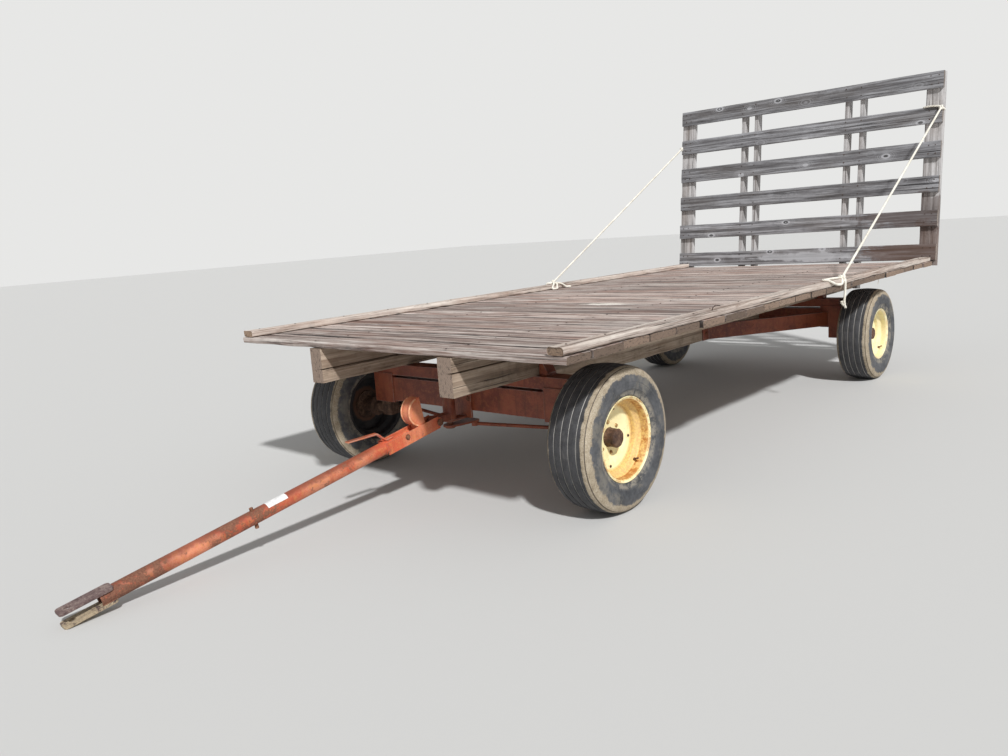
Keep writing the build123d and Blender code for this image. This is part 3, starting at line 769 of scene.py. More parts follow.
# Finishes of the wheels and the ropes
def tyre_finish():
    """Dark ribs with pale dust in the grooves, a tan band over the shoulders and a blue-grey sidewall."""
    m = Finish("dusty_rubber")
    along, radius = m.split(m.attribute("section"))[:2]
    side = abs(along)
    fine = m.noise(m.place, 210, 4, 0.6)
    ragged = m.noise(m.place, 22, 6, 0.7)
    broad = m.noise(m.place, 6, 4, 0.6)
    rib = m.ramp(fine * 0.4 + ragged * 0.6, [(0.35, tint(38, 39, 42)), (0.65, tint(76, 76, 78))])
    wall = m.ramp(ragged * 0.5 + broad * 0.5, [(0.38, tint(54, 56, 60)), (0.62, tint(94, 95, 98))])
    stained = m.step(m.noise(m.place, (12, 5, 5), 7, 0.72), 0.5, 0.62)
    wall = m.mix(stained * 0.5, wall, tint(136, 130, 118))
    on_tread = m.fade(side, TREAD_HALF - 0.002, TREAD_HALF + 0.003)
    colour = m.mix(on_tread, wall, rib)
    dust = [(0.36, tint(126, 112, 92)), (0.5, tint(168, 154, 132)), (0.66, tint(200, 188, 168))]
    down = side + (TYRE_RADIUS - 0.022 - radius).maths("MAXIMUM", 0.0)
    band = m.step(down + (ragged - 0.5) * 0.022 - m.fade(along, -0.01, 0.01) * 0.012, 0.084, 0.09)
    band = band * m.fade(down + (ragged - 0.5) * 0.09, 0.142, 0.156)
    colour = m.mix(band * 0.93, colour, m.ramp(fine * 0.6 + ragged * 0.4, dust))
    depth = TYRE_RADIUS - side * side * (CROWN_DROP / TREAD_HALF ** 2) - radius
    in_groove = m.step(depth + (fine - 0.5) * 0.003, 0.0034, 0.0046) * on_tread
    colour = m.mix(in_groove * (0.7 + 0.25 * m.step(broad, 0.35, 0.6)), colour, tint(196, 193, 188))
    cut = m.fade(abs(down - SHOULDER_CUT), 0.0012, 0.0024)
    colour = m.mix(cut * 0.9, colour, tint(52, 46, 42))
    low_ring = m.fade(radius + (ragged - 0.5) * 0.05, 0.236, 0.25) * m.step(ragged + fine * 0.4, 0.62, 0.78)
    colour = m.mix(low_ring * 0.75, colour, tint(150, 143, 130))
    scuffs = m.step(m.noise(m.place, (40, 9, 9), 5, 0.65), 0.56, 0.72)
    colour = m.mix(scuffs * 0.22, colour, tint(150, 146, 140))
    return m.close(colour, 0.78, fine * 0.5 + ragged * 0.5, 0.0008, 0.5)


def rim_finish(name, paint, gold, rust, rusty):
    """Cream paint, rusty on the barrel, with a dirty dark inner side and a tan ring round the hub."""
    m = Finish(name)
    along, radius, inward = m.split(m.attribute("section"))
    patch = m.noise(m.place, 16, 6, 0.7)
    fine = m.noise(m.place, 75, 5, 0.7)
    grit = m.noise(m.place, 190, 4, 0.65)
    colour = m.mix(m.step(patch, 0.42, 0.62) * 0.24, paint, gold)
    barrel = m.step(radius, 0.148, 0.168) * m.fade(along, 0.1, 0.104) * 0.8
    colour = m.mix(barrel * rusty, colour, m.mix(m.step(fine, 0.4, 0.6) * 0.6, gold, rust))
    seat = m.step(radius, 0.184, 0.19) * m.fade(radius, 0.196, 0.2) * m.step(along, 0.06, 0.066)
    colour = m.mix(seat * m.step(patch + (fine - 0.5) * 0.5, 0.38, 0.6) * rusty, colour, rust)
    pepper = m.step(grit + (patch - 0.5) * 0.4, 0.64, 0.7)
    colour = m.mix(pepper * (0.16 + 0.4 * rusty), colour, rust)
    lip = m.step(along, 0.101, 0.104) * m.step(patch + (grit - 0.5) * 0.5, 0.48, 0.6)
    colour = m.mix(lip * 0.75 * rusty, colour, rust)
    spots = m.step(fine + (patch - 0.5) * 0.4, 0.64, 0.71)
    colour = m.mix(spots * (0.3 + 0.5 * rusty), colour, tint(120, 66, 34))
    inner = m.step(inward, 0.4, 0.6)
    near_hub = m.fade(abs(radius - 0.098) + (patch - 0.5) * 0.05, 0.006, 0.02)
    grime = m.ramp(patch, [(0.35, tint(34, 34, 38)), (0.7, tint(66, 62, 60))])
    colour = m.mix(inner, colour, m.mix(near_hub * 0.55, grime, tint(122, 80, 54)))
    return m.close(colour, 0.5 + inner * 0.3, fine * 0.4 + spots * 0.6, 0.0008, 0.5)


def rope_finish():
    m = Finish("cream_rope")
    fuzz = m.noise(m.place, 420, 3, 0.6)
    grime = m.noise(m.place, 14, 4, 0.6)
    colour = m.ramp(fuzz * 0.5 + grime * 0.5, [(0.38, tint(214, 207, 192)), (0.6, tint(250, 247, 238))])
    return m.close(colour, 0.8, fuzz, 0.0006, 0.6)


def make_finishes():
    # The running gear's paint is partly its own dull red and partly painted shade: it is darkened for the
    # shade that falls under the deck.
    axle = tints((104, 45, 29), (140, 71, 45), (108, 64, 44), (52, 31, 25), (140, 82, 48))
    tongue = tints((196, 92, 62), (216, 138, 104), (132, 90, 70), (66, 42, 35), (204, 130, 78))
    muddy = tints((58, 44, 44), (104, 84, 82), (150, 134, 126), (190, 172, 142))
    front_rim = tints((252, 243, 192), (230, 184, 92), (178, 108, 46))
    rear_rim = tints((248, 240, 196), (236, 216, 150), (196, 130, 70))
    return {
        **make_timber_finishes(),
        "axle": gear_finish("axle_paint", *axle),
        "tongue": gear_finish("tongue_paint", *tongue, on_the_tongue=True),
        # A pale paint for the ear's rims: a painted highlight.
        "tongue_rim_highlight": plain_finish("rubbed_paint", *tints((222, 140, 100), (248, 190, 148)), 60),
        "clevis": iron_finish("muddy_iron", *muddy, scale=90),
        "lug": plain_finish("lug_paint", *tints((120, 76, 44), (226, 198, 138)), 110),
        "hub": iron_finish("hub_iron", *tints((44, 30, 24), (84, 60, 46), (128, 102, 82))),
        "pin": iron_finish("pin_iron", *tints((60, 38, 28), (118, 74, 52), (160, 122, 96)), scale=90),
        "nail": plain_finish("nail_iron", *tints((38, 30, 27), (84, 64, 54)), 180),
        "tyre": tyre_finish(),
        "rim_front": rim_finish("front_rim_paint", *front_rim, rusty=0.9),
        "rim_rear": rim_finish("rear_rim_paint", *rear_rim, rusty=0.3),
        "rope": rope_finish(),
        "label": plain_finish("label_white", *tints((214, 214, 214), (240, 240, 238)), 60, 0.5),
        "straw": plain_finish("straw_dry", *tints((186, 150, 92), (226, 200, 140)), 40),
    }


# Timber: boards with worn corners, uneven faces, ragged ends and splits
CORNER_STEPS = (0, 30, 60, 90)
FACE_SHARES = (0.62, 0.2, -0.2, -0.62)
EDGE_WEAR = 0.6
END_WEAR = 0.5
STATION = 0.055
END_STATIONS = (0, 0.004, 0.014, 0.03)


class Board:
    """One board: its length along the local X, its width along Y and its thickness up Z from 0."""

    def __init__(
        self, length, width, thick, worn=0.004, rough=0.0012, ragged=0.006, bow=0.0015, trim=(0, 0), wane=0,
        split_length=None, split_depth=None, split_gape=0.0018, free_edge=0,
    ):
        self.length = length
        self.width = width
        self.thick = thick
        self.worn = worn
        self.rough = rough
        self.ragged = ragged
        self.bow = bow
        self.trim = trim
        self.wane = wane
        self.free_edge = free_edge
        usual_length = chance.uniform(0.08, 0.45)
        self.split_end = chance.choice((-1, 1))
        usual_depth = chance.uniform(0.002, 0.009)
        self.split_at = chance.uniform(-0.3, 0.3) * width
        self.split_length = split_length or usual_length
        self.split_depth = split_depth or usual_depth
        self.split_gape = split_gape
        self.seed = chance.uniform(0, 50)
        self.tone = chance.random()

    def section(self):
        """Points round the section: across, through, the way out, a corner's pull, wear and split share."""
        half = self.width / 2
        points = []
        for quarter, (side, top) in enumerate(((1, 1), (-1, 1), (-1, -1), (1, -1))):
            for step in CORNER_STEPS:
                angle = math.radians(90 * quarter + step)
                out = (math.cos(angle), math.sin(angle))
                pull = (out[0] - side, out[1] - top)
                points.append((side * half, self.thick * (top > 0), out, pull, 1, 0))
            points += self.flat_points(quarter, half)
        return points

    def flat_points(self, quarter, half):
        """The points between two corners, over the top, down a side or back underneath."""
        level, out = ((self.thick, (0, 1)), (0, (-1, 0)), (0, (0, -1)), (0, (1, 0)))[quarter]
        if quarter in (1, 3):
            side = -half if quarter == 1 else half
            return [(side, self.thick * 0.5, out, (0, 0), EDGE_WEAR, 0)]
        places = [(half * share, 0) for share in FACE_SHARES]
        if quarter == 0:
            gape = self.split_gape
            places = [p for p in places if abs(p[0] - self.split_at) > 2.5 * gape]
            places += [(self.split_at + gape, 0), (self.split_at, 1), (self.split_at - gape, 0)]
        places.sort(reverse=(quarter == 0))
        return [(across, level, out, (0, 0), 0, share) for across, share in places]

    def stations(self):
        """Places along the board, closer together at its ends."""
        half = self.length / 2
        low, high = -half + self.trim[0], half - self.trim[1]
        inner_low, inner_high = low + END_STATIONS[-1], high - END_STATIONS[-1]
        count = max(2, round((inner_high - inner_low) / STATION))
        inner = [inner_low + (inner_high - inner_low) * k / count for k in range(count + 1)]
        return [low + d for d in END_STATIONS[:-1]] + inner + [high - d for d in END_STATIONS[-2::-1]]

    def from_joint(self, across):
        """The distance to the nearest joint with another board, leaving out an edge that is free."""
        return self.width / 2 - (across * -self.free_edge if self.free_edge else abs(across))

    def ring(self, form, place, along, at_end):
        """One worn section of the board, as points of the form."""
        round_off = self.worn * (0.35 + 1.5 * roughness_at(along * 7, self.seed, 0) ** 2)
        sway = self.bow * noise.noise(Vector((along * 0.9, self.seed, 7)))
        toward_end = self.split_end * along - self.length / 2 + self.split_length
        split = self.split_depth * max(0, min(1, toward_end / self.split_length))
        ring = []
        for across, through, out, pull, wear, share in self.section():
            uneven = roughness_at(along * 11, across * 30 + through * 50, self.seed)
            corner = round_off * (0.4 + 1.3 * uneven)
            if through > 0:
                corner += self.wane * max(0, noise.noise(Vector((along * 1.3, across, self.seed))))
            dent = self.rough * roughness_at(along * 5, across * 25 + self.seed, through * 40)
            dent += split * share
            u = along
            v = across + corner * pull[0] - dent * out[0] + sway
            w = through + corner * pull[1] - dent * out[1]
            if at_end:
                u -= math.copysign(self.ragged, along) * roughness_at(across * 22, through * 18, self.seed)
            ring.append(form.point(
                place @ Vector((u, v, w)),
                grain=(u + self.seed * 3.1, v + self.seed * 1.7, w + self.seed * 0.9),
                board=(self.tone, wear, 0),
                spot=(u, v, self.from_joint(across)),
            ))
        return ring

    def add_to(self, form, place):
        stations = self.stations()
        rings = [self.ring(form, place, along, along in (stations[0], stations[-1])) for along in stations]
        for first, second in zip(rings, rings[1:]):
            form.band(first, second)
        for ring in (rings[0], rings[-1]):
            form.face(ring, board=(self.tone, END_WEAR, 1))


def nail_up(name, finish, node, boards):
    """One piece of several boards, each with its place, that stands for a node."""
    form = Form("grain", "board", "spot")
    for board, place in boards:
        board.add_to(form, place)
    stand_for(form.build(name, finish), node)


# Boards of the bed and the rack
PLANK_COUNT = 22
FIRST_PLANK = 0.184
PLANK_WIDTH = 0.232
PLANK_JOINT = 0.005
SILL_X = 0.5
SILL_WIDTH = 0.095
SPLIT_OFF_MIDDLE = 0.02
RAIL_WIDTH = 0.089
SLAT_COUNT = 6
SLAT_FIRST = 0.010
SLAT_PITCH = 0.288
SLAT_WIDTH = 0.138
SLAT_THICK = 0.030
POST_WIDTH = 0.147
POST_THICK = 0.038
UPRIGHT_WIDTH = 0.038
UPRIGHT_DEPTH = 0.089
RACK_TOP_REVEAL = 0.018
CLASP = (SILL_WIDTH + UPRIGHT_WIDTH) / 2
NAIL_ALONG = SILL_X
NAIL_ACROSS = 0.07
rack_top = SLAT_FIRST + (SLAT_COUNT - 1) * SLAT_PITCH + SLAT_WIDTH


def plank_rows():
    """Each plank's number, middle and width, from the front of the bed."""
    edge = deck_low.y
    for number in range(PLANK_COUNT):
        width = PLANK_WIDTH if number else FIRST_PLANK
        yield number, edge + width / 2, width
        edge += width + PLANK_JOINT


def make_deck(finish):
    planks = []
    for number, across, width in plank_rows():
        plank = Board(
            deck_high.x - deck_low.x, width, deck_high.z - deck_low.z, worn=0.006 if number else 0.009,
            rough=0.003 if number else 0.006, ragged=0.009,
            trim=(chance.uniform(0, 0.014), chance.uniform(0, 0.022)), free_edge=0 if number else -1,
        )
        planks.append((plank, facing(Vector((0, across, deck_low.z)), X, Y)))
    nail_up("deck_boards", finish, "deck_planks", planks)


def make_rails(finish):
    low, high = rails_low, rails_high
    rails = []
    for side in SIDES.values():
        place = Vector((side * (high.x - RAIL_WIDTH / 2), (low.y + high.y) / 2, low.z))
        rail = Board(
            high.y - low.y, RAIL_WIDTH, high.z - low.z, worn=0.009, rough=0.003, ragged=0.016, wane=0.011
        )
        rails.append((rail, facing(place, Y, -X)))
    nail_up("side_rail_boards", finish, "side_rails", rails)


def make_long_timbers(finish):
    low, high = sills_low, sills_high
    sills = []
    for side in SIDES.values():
        sill = Board(
            high.y - low.y, high.z - low.z, SILL_WIDTH, worn=0.005, rough=0.003, ragged=0.01,
            split_length=0.9, split_depth=0.03, split_gape=0.004,
        )
        sill.split_end = -1
        sill.split_at = side * SPLIT_OFF_MIDDLE
        place = Vector((side * SILL_X - SILL_WIDTH / 2, (low.y + high.y) / 2, (low.z + high.z) / 2))
        sills.append((sill, facing(place, Y, Z)))
    nail_up("sill_timbers", finish, "sills", sills)
    low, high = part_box("reach_pole")
    pole = Board(
        high.y - low.y, high.z - low.z, high.x - low.x, worn=0.006, rough=0.002, trim=(0.001, 0.001)
    )
    place = Vector((low.x, (low.y + high.y) / 2, (low.z + high.z) / 2))
    nail_up("reach_timber", finish, "reach_pole", [(pole, facing(place, Y, Z))])


def make_slats(finish):
    slats = []
    for number in range(SLAT_COUNT):
        up = SLAT_FIRST + number * SLAT_PITCH + SLAT_WIDTH / 2
        slat = Board(
            2 * rack_half, SLAT_WIDTH, SLAT_THICK, worn=0.004, rough=0.002, bow=0.003,
            wane=0.012 if number == SLAT_COUNT - 2 else 0.002,
            trim=(chance.uniform(0, 0.008), chance.uniform(0, 0.008)),
        )
        slats.append((slat, facing(on_rack(0, up, -SLAT_THICK), X, rack_up)))
    nail_up("rack_boards", finish, "rack_slats", slats)


def make_posts(finish):
    """The end posts and the uprights that clasp the sills, both behind the slats."""
    low = deck_low.z - deck_high.z
    posts = []
    for side in SIDES.values():
        post = Board(rack_top - low, POST_WIDTH, POST_THICK, worn=0.004, rough=0.002, bow=0)
        across = side * (rack_half - POST_WIDTH / 2)
        place = on_rack(across, (rack_top + low) / 2, -SLAT_THICK - POST_THICK)
        posts.append((post, facing(place, rack_up, -X)))
    nail_up("rack_post_boards", finish, "rack_posts", posts)
    low = (sills_low.z - deck_high.z) / math.cos(RACK_LEAN)
    high = rack_top - RACK_TOP_REVEAL
    uprights = []
    for side in SIDES.values():
        for shift in (-CLASP, CLASP):
            upright = Board(
                high - low, UPRIGHT_WIDTH, UPRIGHT_DEPTH, worn=0.003, rough=0.0015, bow=0, split_depth=0.002,
                trim=(0, chance.uniform(0, 0.02)),
            )
            place = on_rack(side * SILL_X + shift, (high + low) / 2, -SLAT_THICK - UPRIGHT_DEPTH)
            uprights.append((upright, facing(place, rack_up, -X)))
    nail_up("rack_upright_boards", finish, "rack_uprights", uprights)


# Wheels: profiles of (along, radius) turned about the spindle's line, along running outwards
tyre_low, tyre_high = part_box("tyre_front_left")
TYRE_RADIUS = (tyre_high.z - tyre_low.z) / 2
TYRE_HALF = 0.127
CROWN_DROP = 0.009
TREAD_HALF = 0.098
TREAD_WEAR = 0.0012
SIDEWALL_RADIUS = 0.25
GROOVES = (0.0215, 0.0645)
GROOVE_HALF = 0.0036
GROOVE_DEPTH = 0.0055
GROOVE_LIP = 0.0008
SHOULDER_CUT = 0.107
BEADS = {"front": 0.200, "rear": 0.1905}
RIM_HALF = 0.1015
RIM_OUTER = 0.1075
RIM_FLANGE = 0.0125
WELL_DEPTH = 0.026
RIM_WALL = 0.006
DISC_AT = 0.016
TYRE_SEGMENTS = 120
RIM_SEGMENTS = 96
HUB_SEGMENTS = 64
# The hub from the spindle's root over the barrel and the flange to the dust cap's middle
HUB_PROFILE = [
    (0.021, 0.0), (0.021, 0.0222), (-0.125, 0.0222), (-0.125, 0.058), (-0.122, 0.062), (-0.108, 0.062),
    (-0.105, 0.059), (-0.100, 0.0485), (-0.024, 0.0485), (-0.020, 0.052), (-0.018, 0.086), (-0.016, 0.088),
    (-0.0062, 0.088), (-0.0062, 0.0488), (0.001, 0.0488), (0.012, 0.0475), (0.046, 0.0465), (0.0475, 0.0482),
    (0.051, 0.0482), (0.056, 0.0445), (0.059, 0.038), (0.0585, 0.020), (0.06, 0.012), (0.06, 0.0),
]
CAP_FROM = 0.004
CAP_FLATS = 8
# Rings of bolts on a disc: name, count, reach, place along, first angle in degrees, radius, height, finish
BOLT_RINGS = (
    ("lug_bolts", 6, 0.078, 0, 36, 0.0085, 0.008, "lug"),
    ("disc_bolts", 4, 0.143, DISC_AT, -9, 0.006, 0.005, "hub"),
)
VALVE_ANGLE = math.radians(-47)
VALVE_ALONG = 0.058
VALVE_INSET = 0.013
VALVE_PROFILE = (
    (0, 0.0075), (0.006, 0.0075), (0.009, 0.0045), (0.022, 0.004), (0.024, 0.005), (0.034, 0.005),
    (0.036, 0.0),
)
VALVE_SIDES = 14


def crown_radius(along):
    return TYRE_RADIUS - CROWN_DROP * (along / TREAD_HALF) ** 2


def both_halves(half):
    """An outline made of a half, from its middle outwards, and its mirror image."""
    return [(-along, radius) for along, radius in reversed(half[1:])] + half


def tyre_profile(bead):
    """A ribbed tyre's outline from bead to bead."""
    half = [(0, crown_radius(0))]
    for groove in GROOVES:
        top = crown_radius(groove)
        half += [
            (groove - 2 * GROOVE_HALF, crown_radius(groove - 2 * GROOVE_HALF)),
            (groove - GROOVE_HALF, top - GROOVE_LIP),
            (groove - 0.6 * GROOVE_HALF, top - GROOVE_DEPTH),
            (groove + 0.6 * GROOVE_HALF, top - GROOVE_DEPTH),
            (groove + GROOVE_HALF, top - GROOVE_LIP),
            (groove + 2 * GROOVE_HALF, crown_radius(groove + 2 * GROOVE_HALF)),
        ]
    edge = crown_radius(TREAD_HALF)
    half += [
        (0.088, crown_radius(0.088)), (TREAD_HALF - 0.002, edge + 0.0002), (0.1012, edge - 0.0016),
        (0.1028, edge - 0.006), (0.1046, edge - 0.0062), (0.1062, edge - 0.0045), (0.1105, edge - 0.0085),
        (0.1142, edge - 0.0135), (0.1172, edge - 0.0205), (0.1196, edge - 0.028), (0.1222, 0.322),
        (0.1242, 0.312), (0.1256, 0.302), (TYRE_HALF, 0.292), (TYRE_HALF, 0.284), (0.1254, 0.2815),
        (0.1256, 0.272), (0.1243, 0.2625), (0.1221, 0.2545), (0.1226, 0.2525), (0.1226, 0.2495),
        (0.1206, 0.247), (0.1172, 0.2375), (0.1136, 0.230), (0.1112, bead + 0.0235), (0.1104, bead + 0.0195),
        (0.1076, bead + 0.0165), (RIM_HALF, bead + RIM_FLANGE + 0.001), (RIM_HALF, bead),
    ]
    return both_halves(half)


def rim_profile(bead):
    """The rim's band: rolled lips, bead seats and the well, first its open side and then the tyre's side."""
    lip = bead + RIM_FLANGE
    seat = bead - RIM_WALL
    well = bead - WELL_DEPTH - RIM_WALL
    half = [
        (0, well), (0.037, well), (0.0405, well + 0.001), (0.0435, well + 0.004), (0.0535, seat - 0.006),
        (0.057, seat - 0.002), (0.061, seat + 0.0008), (0.064, seat), (0.092, seat), (0.098, seat + 0.001),
        (0.1012, seat + 0.004), (0.1028, seat + 0.009), (0.1042, lip - 0.006), (0.1058, lip - 0.0052),
        (0.1072, lip - 0.0035), (RIM_OUTER, lip - 0.0015), (0.1068, lip - 0.0003), (0.105, lip),
        (0.1028, lip - 0.0006), (RIM_HALF, lip - 0.0025), (RIM_HALF, bead),
    ]
    well_floor = bead - WELL_DEPTH
    return both_halves(half) + [(0.052, bead), (0.038, well_floor), (-0.038, well_floor), (-0.052, bead)]


def disc_profile(bead):
    """The dished disc inside the rim, its outer face and then its inner one."""
    well = bead - WELL_DEPTH - RIM_WALL / 2
    face = [
        (0, 0.0493), (0, 0.088), (0.001, 0.094), (0.004, 0.103), (0.0115, 0.124), (0.0148, 0.132),
        (DISC_AT, 0.139), (DISC_AT, well - 0.008), (0.019, well - 0.002), (0.022, well),
    ]
    return face + [(along - RIM_WALL, radius) for along, radius in reversed(face)]


def spoke(angle):
    """The way from a wheel's middle at an angle, from 0 to the wagon's back."""
    return Y * math.cos(angle) + Z * math.sin(angle)


def lathe(form, profile, centre, outward, segments, closed=True, warp=None, inner=()):
    """Turns a profile about a line.

    warp changes a radius by its place, and inner holds the numbers of the points on the inner side.
    """
    rings = []
    for turn in range(segments):
        angle = 2 * math.pi * turn / segments
        ring = []
        for number, (along, radius) in enumerate(profile):
            reach = warp(along, radius, angle) if warp else radius
            place = centre + outward * along + spoke(angle) * reach
            ring.append(form.point(place, section=(along, radius, number in inner)))
        rings.append(ring)
    for number, first in enumerate(rings):
        second = rings[(number + 1) % segments]
        if closed:
            form.band(first, second)
        else:
            for k in range(len(first) - 1):
                form.face((first[k], first[k + 1], second[k + 1], second[k]))


def tube(form, foot, line, profile, sides):
    """A small turned piece that stands on its foot along a line."""
    side = line.orthogonal().normalized()
    other = line.cross(side)
    rings = []
    for along, radius in profile:
        ring = []
        for number in range(sides):
            angle = 2 * math.pi * number / sides
            place = foot + line * along + (side * math.cos(angle) + other * math.sin(angle)) * radius
            ring.append(form.point(place, section=(along, radius, angle)))
        rings.append(ring)
    for first, second in zip(rings, rings[1:]):
        form.band(first, second)
    form.face(reversed(rings[0]))


def cast_cap(along, radius, angle):
    """A cap that is a little eight-sided and uneven, as cast and hammered."""
    if along < CAP_FROM:
        return radius
    flats = 0.5 + 0.5 * math.cos(CAP_FLATS * angle)
    dents = roughness_at(along * 60, math.cos(angle), math.sin(angle))
    return radius * (1 - 0.028 * flats - 0.03 * dents)


def fit_wheel(name, end, centre, outward, finishes, studs):
    """The bolts on a wheel's disc and the valve in its rim."""
    body, slot = f"wheel_{name}", f"rim_{end}"
    for word, count, reach, along, first, radius, height, finish in BOLT_RINGS:
        ring = Guide()
        for k in range(count):
            angle = math.radians(first) + 2 * math.pi * k / count
            ring.stud(centre + outward * along + spoke(angle) * reach, outward)
        bolts = ring.grow(f"{word}_{name}", studs, Radius=radius, Height=height, Finish=finishes[finish])
        belong(bolts, body, slot)
    form = Form("section")
    way = spoke(VALVE_ANGLE)
    foot = centre + outward * VALVE_ALONG + way * (BEADS[end] - VALVE_INSET)
    tube(form, foot, (outward * 0.85 - way * 0.5).normalized(), VALVE_PROFILE, VALVE_SIDES)
    belong(form.build(f"valve_{name}", finishes["pin"]), body, slot)


def make_wheel(end, word, finishes, studs):
    name = f"{end}_{word}"
    outward = X * SIDES[word]
    centre = Vector(joints[f"wheel_{name}_spin"]["pos_m"])
    bead = BEADS[end]
    seed = chance.uniform(0, 30)

    def worn_tread(along, radius, angle):
        if radius < SIDEWALL_RADIUS:
            return radius
        uneven = roughness_at(math.cos(angle) * 3 + seed, math.sin(angle) * 3, along * 14)
        return radius - TREAD_WEAR * uneven

    form = Form("section")
    lathe(form, tyre_profile(bead), centre, outward, TYRE_SEGMENTS, warp=worn_tread)
    stand_for(form.build(f"ribbed_tyre_{name}", finishes["tyre"], crease=32), f"tyre_{name}")
    form = Form("section")
    rim, disc = rim_profile(bead), disc_profile(bead)
    in_rim = [k for k, (along, radius) in enumerate(rim) if along < DISC_AT]
    lathe(form, rim, centre, outward, RIM_SEGMENTS, inner=in_rim)
    lathe(form, disc, centre, outward, RIM_SEGMENTS, inner=range(len(disc) // 2, len(disc)))
    stand_for(form.build(f"wheel_rim_{name}", finishes[f"rim_{end}"], crease=50), f"rim_{name}")
    form = Form("section")
    lathe(form, HUB_PROFILE, centre, outward, HUB_SEGMENTS, closed=False, warp=cast_cap)
    stand_for(form.build(f"wheel_hub_{name}", finishes["hub"], crease=40), f"hub_{name}")
    fit_wheel(name, end, centre, outward, finishes, studs)


# Iron pieces of the running gear: the nodes' own shapes with joined faces and rounded edges
# Each group's nodes, their finish and how far their edges are rounded
IRON_GROUPS = (
    ((
        "front_axle", "front_axle_ends", "front_bolster", "front_stakes", "pivot_bracket", "rear_axle",
        "rear_axle_ends", "rear_bolster", "rear_stakes", "reach_bracket", "rear_braces", "steering_hound",
        "steering_plate", "tie_rod_left", "tie_rod_right",
    ), "axle", 0.003),
    (("tongue_head", "tongue_tube", "latch_lever"), "tongue", 0.0025),
    (("pivot_pin", "hinge_pin", "stop_bolt"), "pin", 0.0015),
    (("knuckle_left", "knuckle_right"), "hub", 0.003),
    (("hitch_clevis",), "clevis", 0.0012),
)
ROUNDING_STEPS = 2
SHARP_FROM = math.radians(30)
FLAT_TO = math.radians(1)


def softened(node, finish, rounding):
    shape = bmesh.new()
    shape.from_mesh(frame["nodes"][node].data)
    layer = shape.faces.layers.float_vector.new("edge")
    bmesh.ops.remove_doubles(shape, verts=shape.verts, dist=1e-5)
    bmesh.ops.dissolve_limit(
        shape, angle_limit=FLAT_TO, verts=shape.verts, edges=shape.edges, use_dissolve_boundaries=False
    )
    sharp = [
        edge for edge in shape.edges
        if len(edge.link_faces) == 2 and edge.calc_face_angle() > SHARP_FROM
    ]
    rounded = bmesh.ops.bevel(
        shape, geom=sharp, offset=rounding, segments=ROUNDING_STEPS, profile=0.6, affect="EDGES",
        clamp_overlap=True,
    )
    for face in rounded["faces"]:
        face[layer] = Vector((1, 0, 0))
    data = bpy.data.meshes.new(node)
    shape.to_mesh(data)
    shape.free()
    stand_for(finished(f"{node}_worn", data, finish, crease=42, weighted=True), node)


def make_iron(finishes):
    for nodes, finish, rounding in IRON_GROUPS:
        for node in nodes:
            softened(node, finishes[finish], rounding)


# Ropes: pulled tight from the rack's ends to the bed's edges, with the wraps, knots and tails at both ends
ROPE_RADIUS = 0.0083
HEAD_INSET = 0.013
KNOT_STEPS = 26


def round_rack(side, *places):
    """Places round one end of the rack: in from its edge, up the boards and out of the slats' faces."""
    return [on_rack(side * (rack_half - inset), up, out) for inset, up, out in places]


def by_rail(side, *places):
    """Places beside one rail: in from its outer edge, behind the front axle and above the ground."""
    return [beside_axle(side * (rails_high.x - inset), back, z) for inset, back, z in places]


def before(head, distance):
    """A place a little in front of a rope's upper end."""
    return head - Y * distance


def stay(foot, head):
    """A rope's tight run."""
    return [foot, foot.lerp(head, 0.05), foot.lerp(head, 0.5), before(head, 0.012)]


def knot(centre, size, turn=0.0):
    """An overhand knot's closed turns round a centre."""
    points = []
    for k in range(KNOT_STEPS + 1):
        t = 2 * math.pi * k / KNOT_STEPS
        x = (math.sin(t) + 2 * math.sin(2 * t)) / 3
        y = (math.cos(t) - 2 * math.cos(2 * t)) / 3
        across = x * math.cos(turn) - y * math.sin(turn)
        up = x * math.sin(turn) + y * math.cos(turn)
        points.append(centre + Vector((across, -math.sin(3 * t) / 2.4, up)) * size)
    return points


def left_rope():
    """Wrapped round the post and its slat above, tied round the rail below, with a hanging knotted tail."""
    head = on_rack(rack_half - HEAD_INSET, 1.282)
    foot = beside_axle(rails_high.x - 0.008, 2.44, rails_high.z + 0.004)
    wrap = round_rack(
        1, (0.003, 1.275, -0.012), (0.003, 1.27, -0.05), (0.03, 1.262, -0.078), (0.1, 1.268, -0.076),
        (0.155, 1.29, -0.05), (0.156, 1.3, -0.01), (0.11, 1.302, 0.007), (0.03, 1.294, 0.008),
    )
    loop = by_rail(
        1, (0.014, 2.40, 0.931), (0.026, 2.31, 0.933), (0.036, 2.22, 0.934), (0.036, 2.18, 0.935),
        (0.010, 2.19, 0.933), (-0.0115, 2.22, 0.915), (-0.0115, 2.30, 0.895), (-0.0115, 2.39, 0.893),
    )
    tail = by_rail(
        1, (-0.0105, 2.446, 0.908), (-0.0115, 2.446, 0.86), (-0.0095, 2.446, 0.81), (-0.006, 2.443, 0.768),
        (-0.004, 2.446, 0.752), (-0.006, 2.47, 0.722),
    )
    tail_knot = by_rail(1, (0.001, 2.445, 0.758))[0]
    return [
        stay(foot, head),
        [before(head, 0.012), *wrap, before(head, 0.014)],
        knot(before(head, 0.016), 0.014, 0.6),
        knot(foot, 0.02),
        knot(foot + Vector((0.004, 0.006, -0.014)), 0.016, 1.2),
        [foot, *loop, foot],
        [foot, *tail],
        knot(tail_knot, 0.0135, 0.4),
    ]


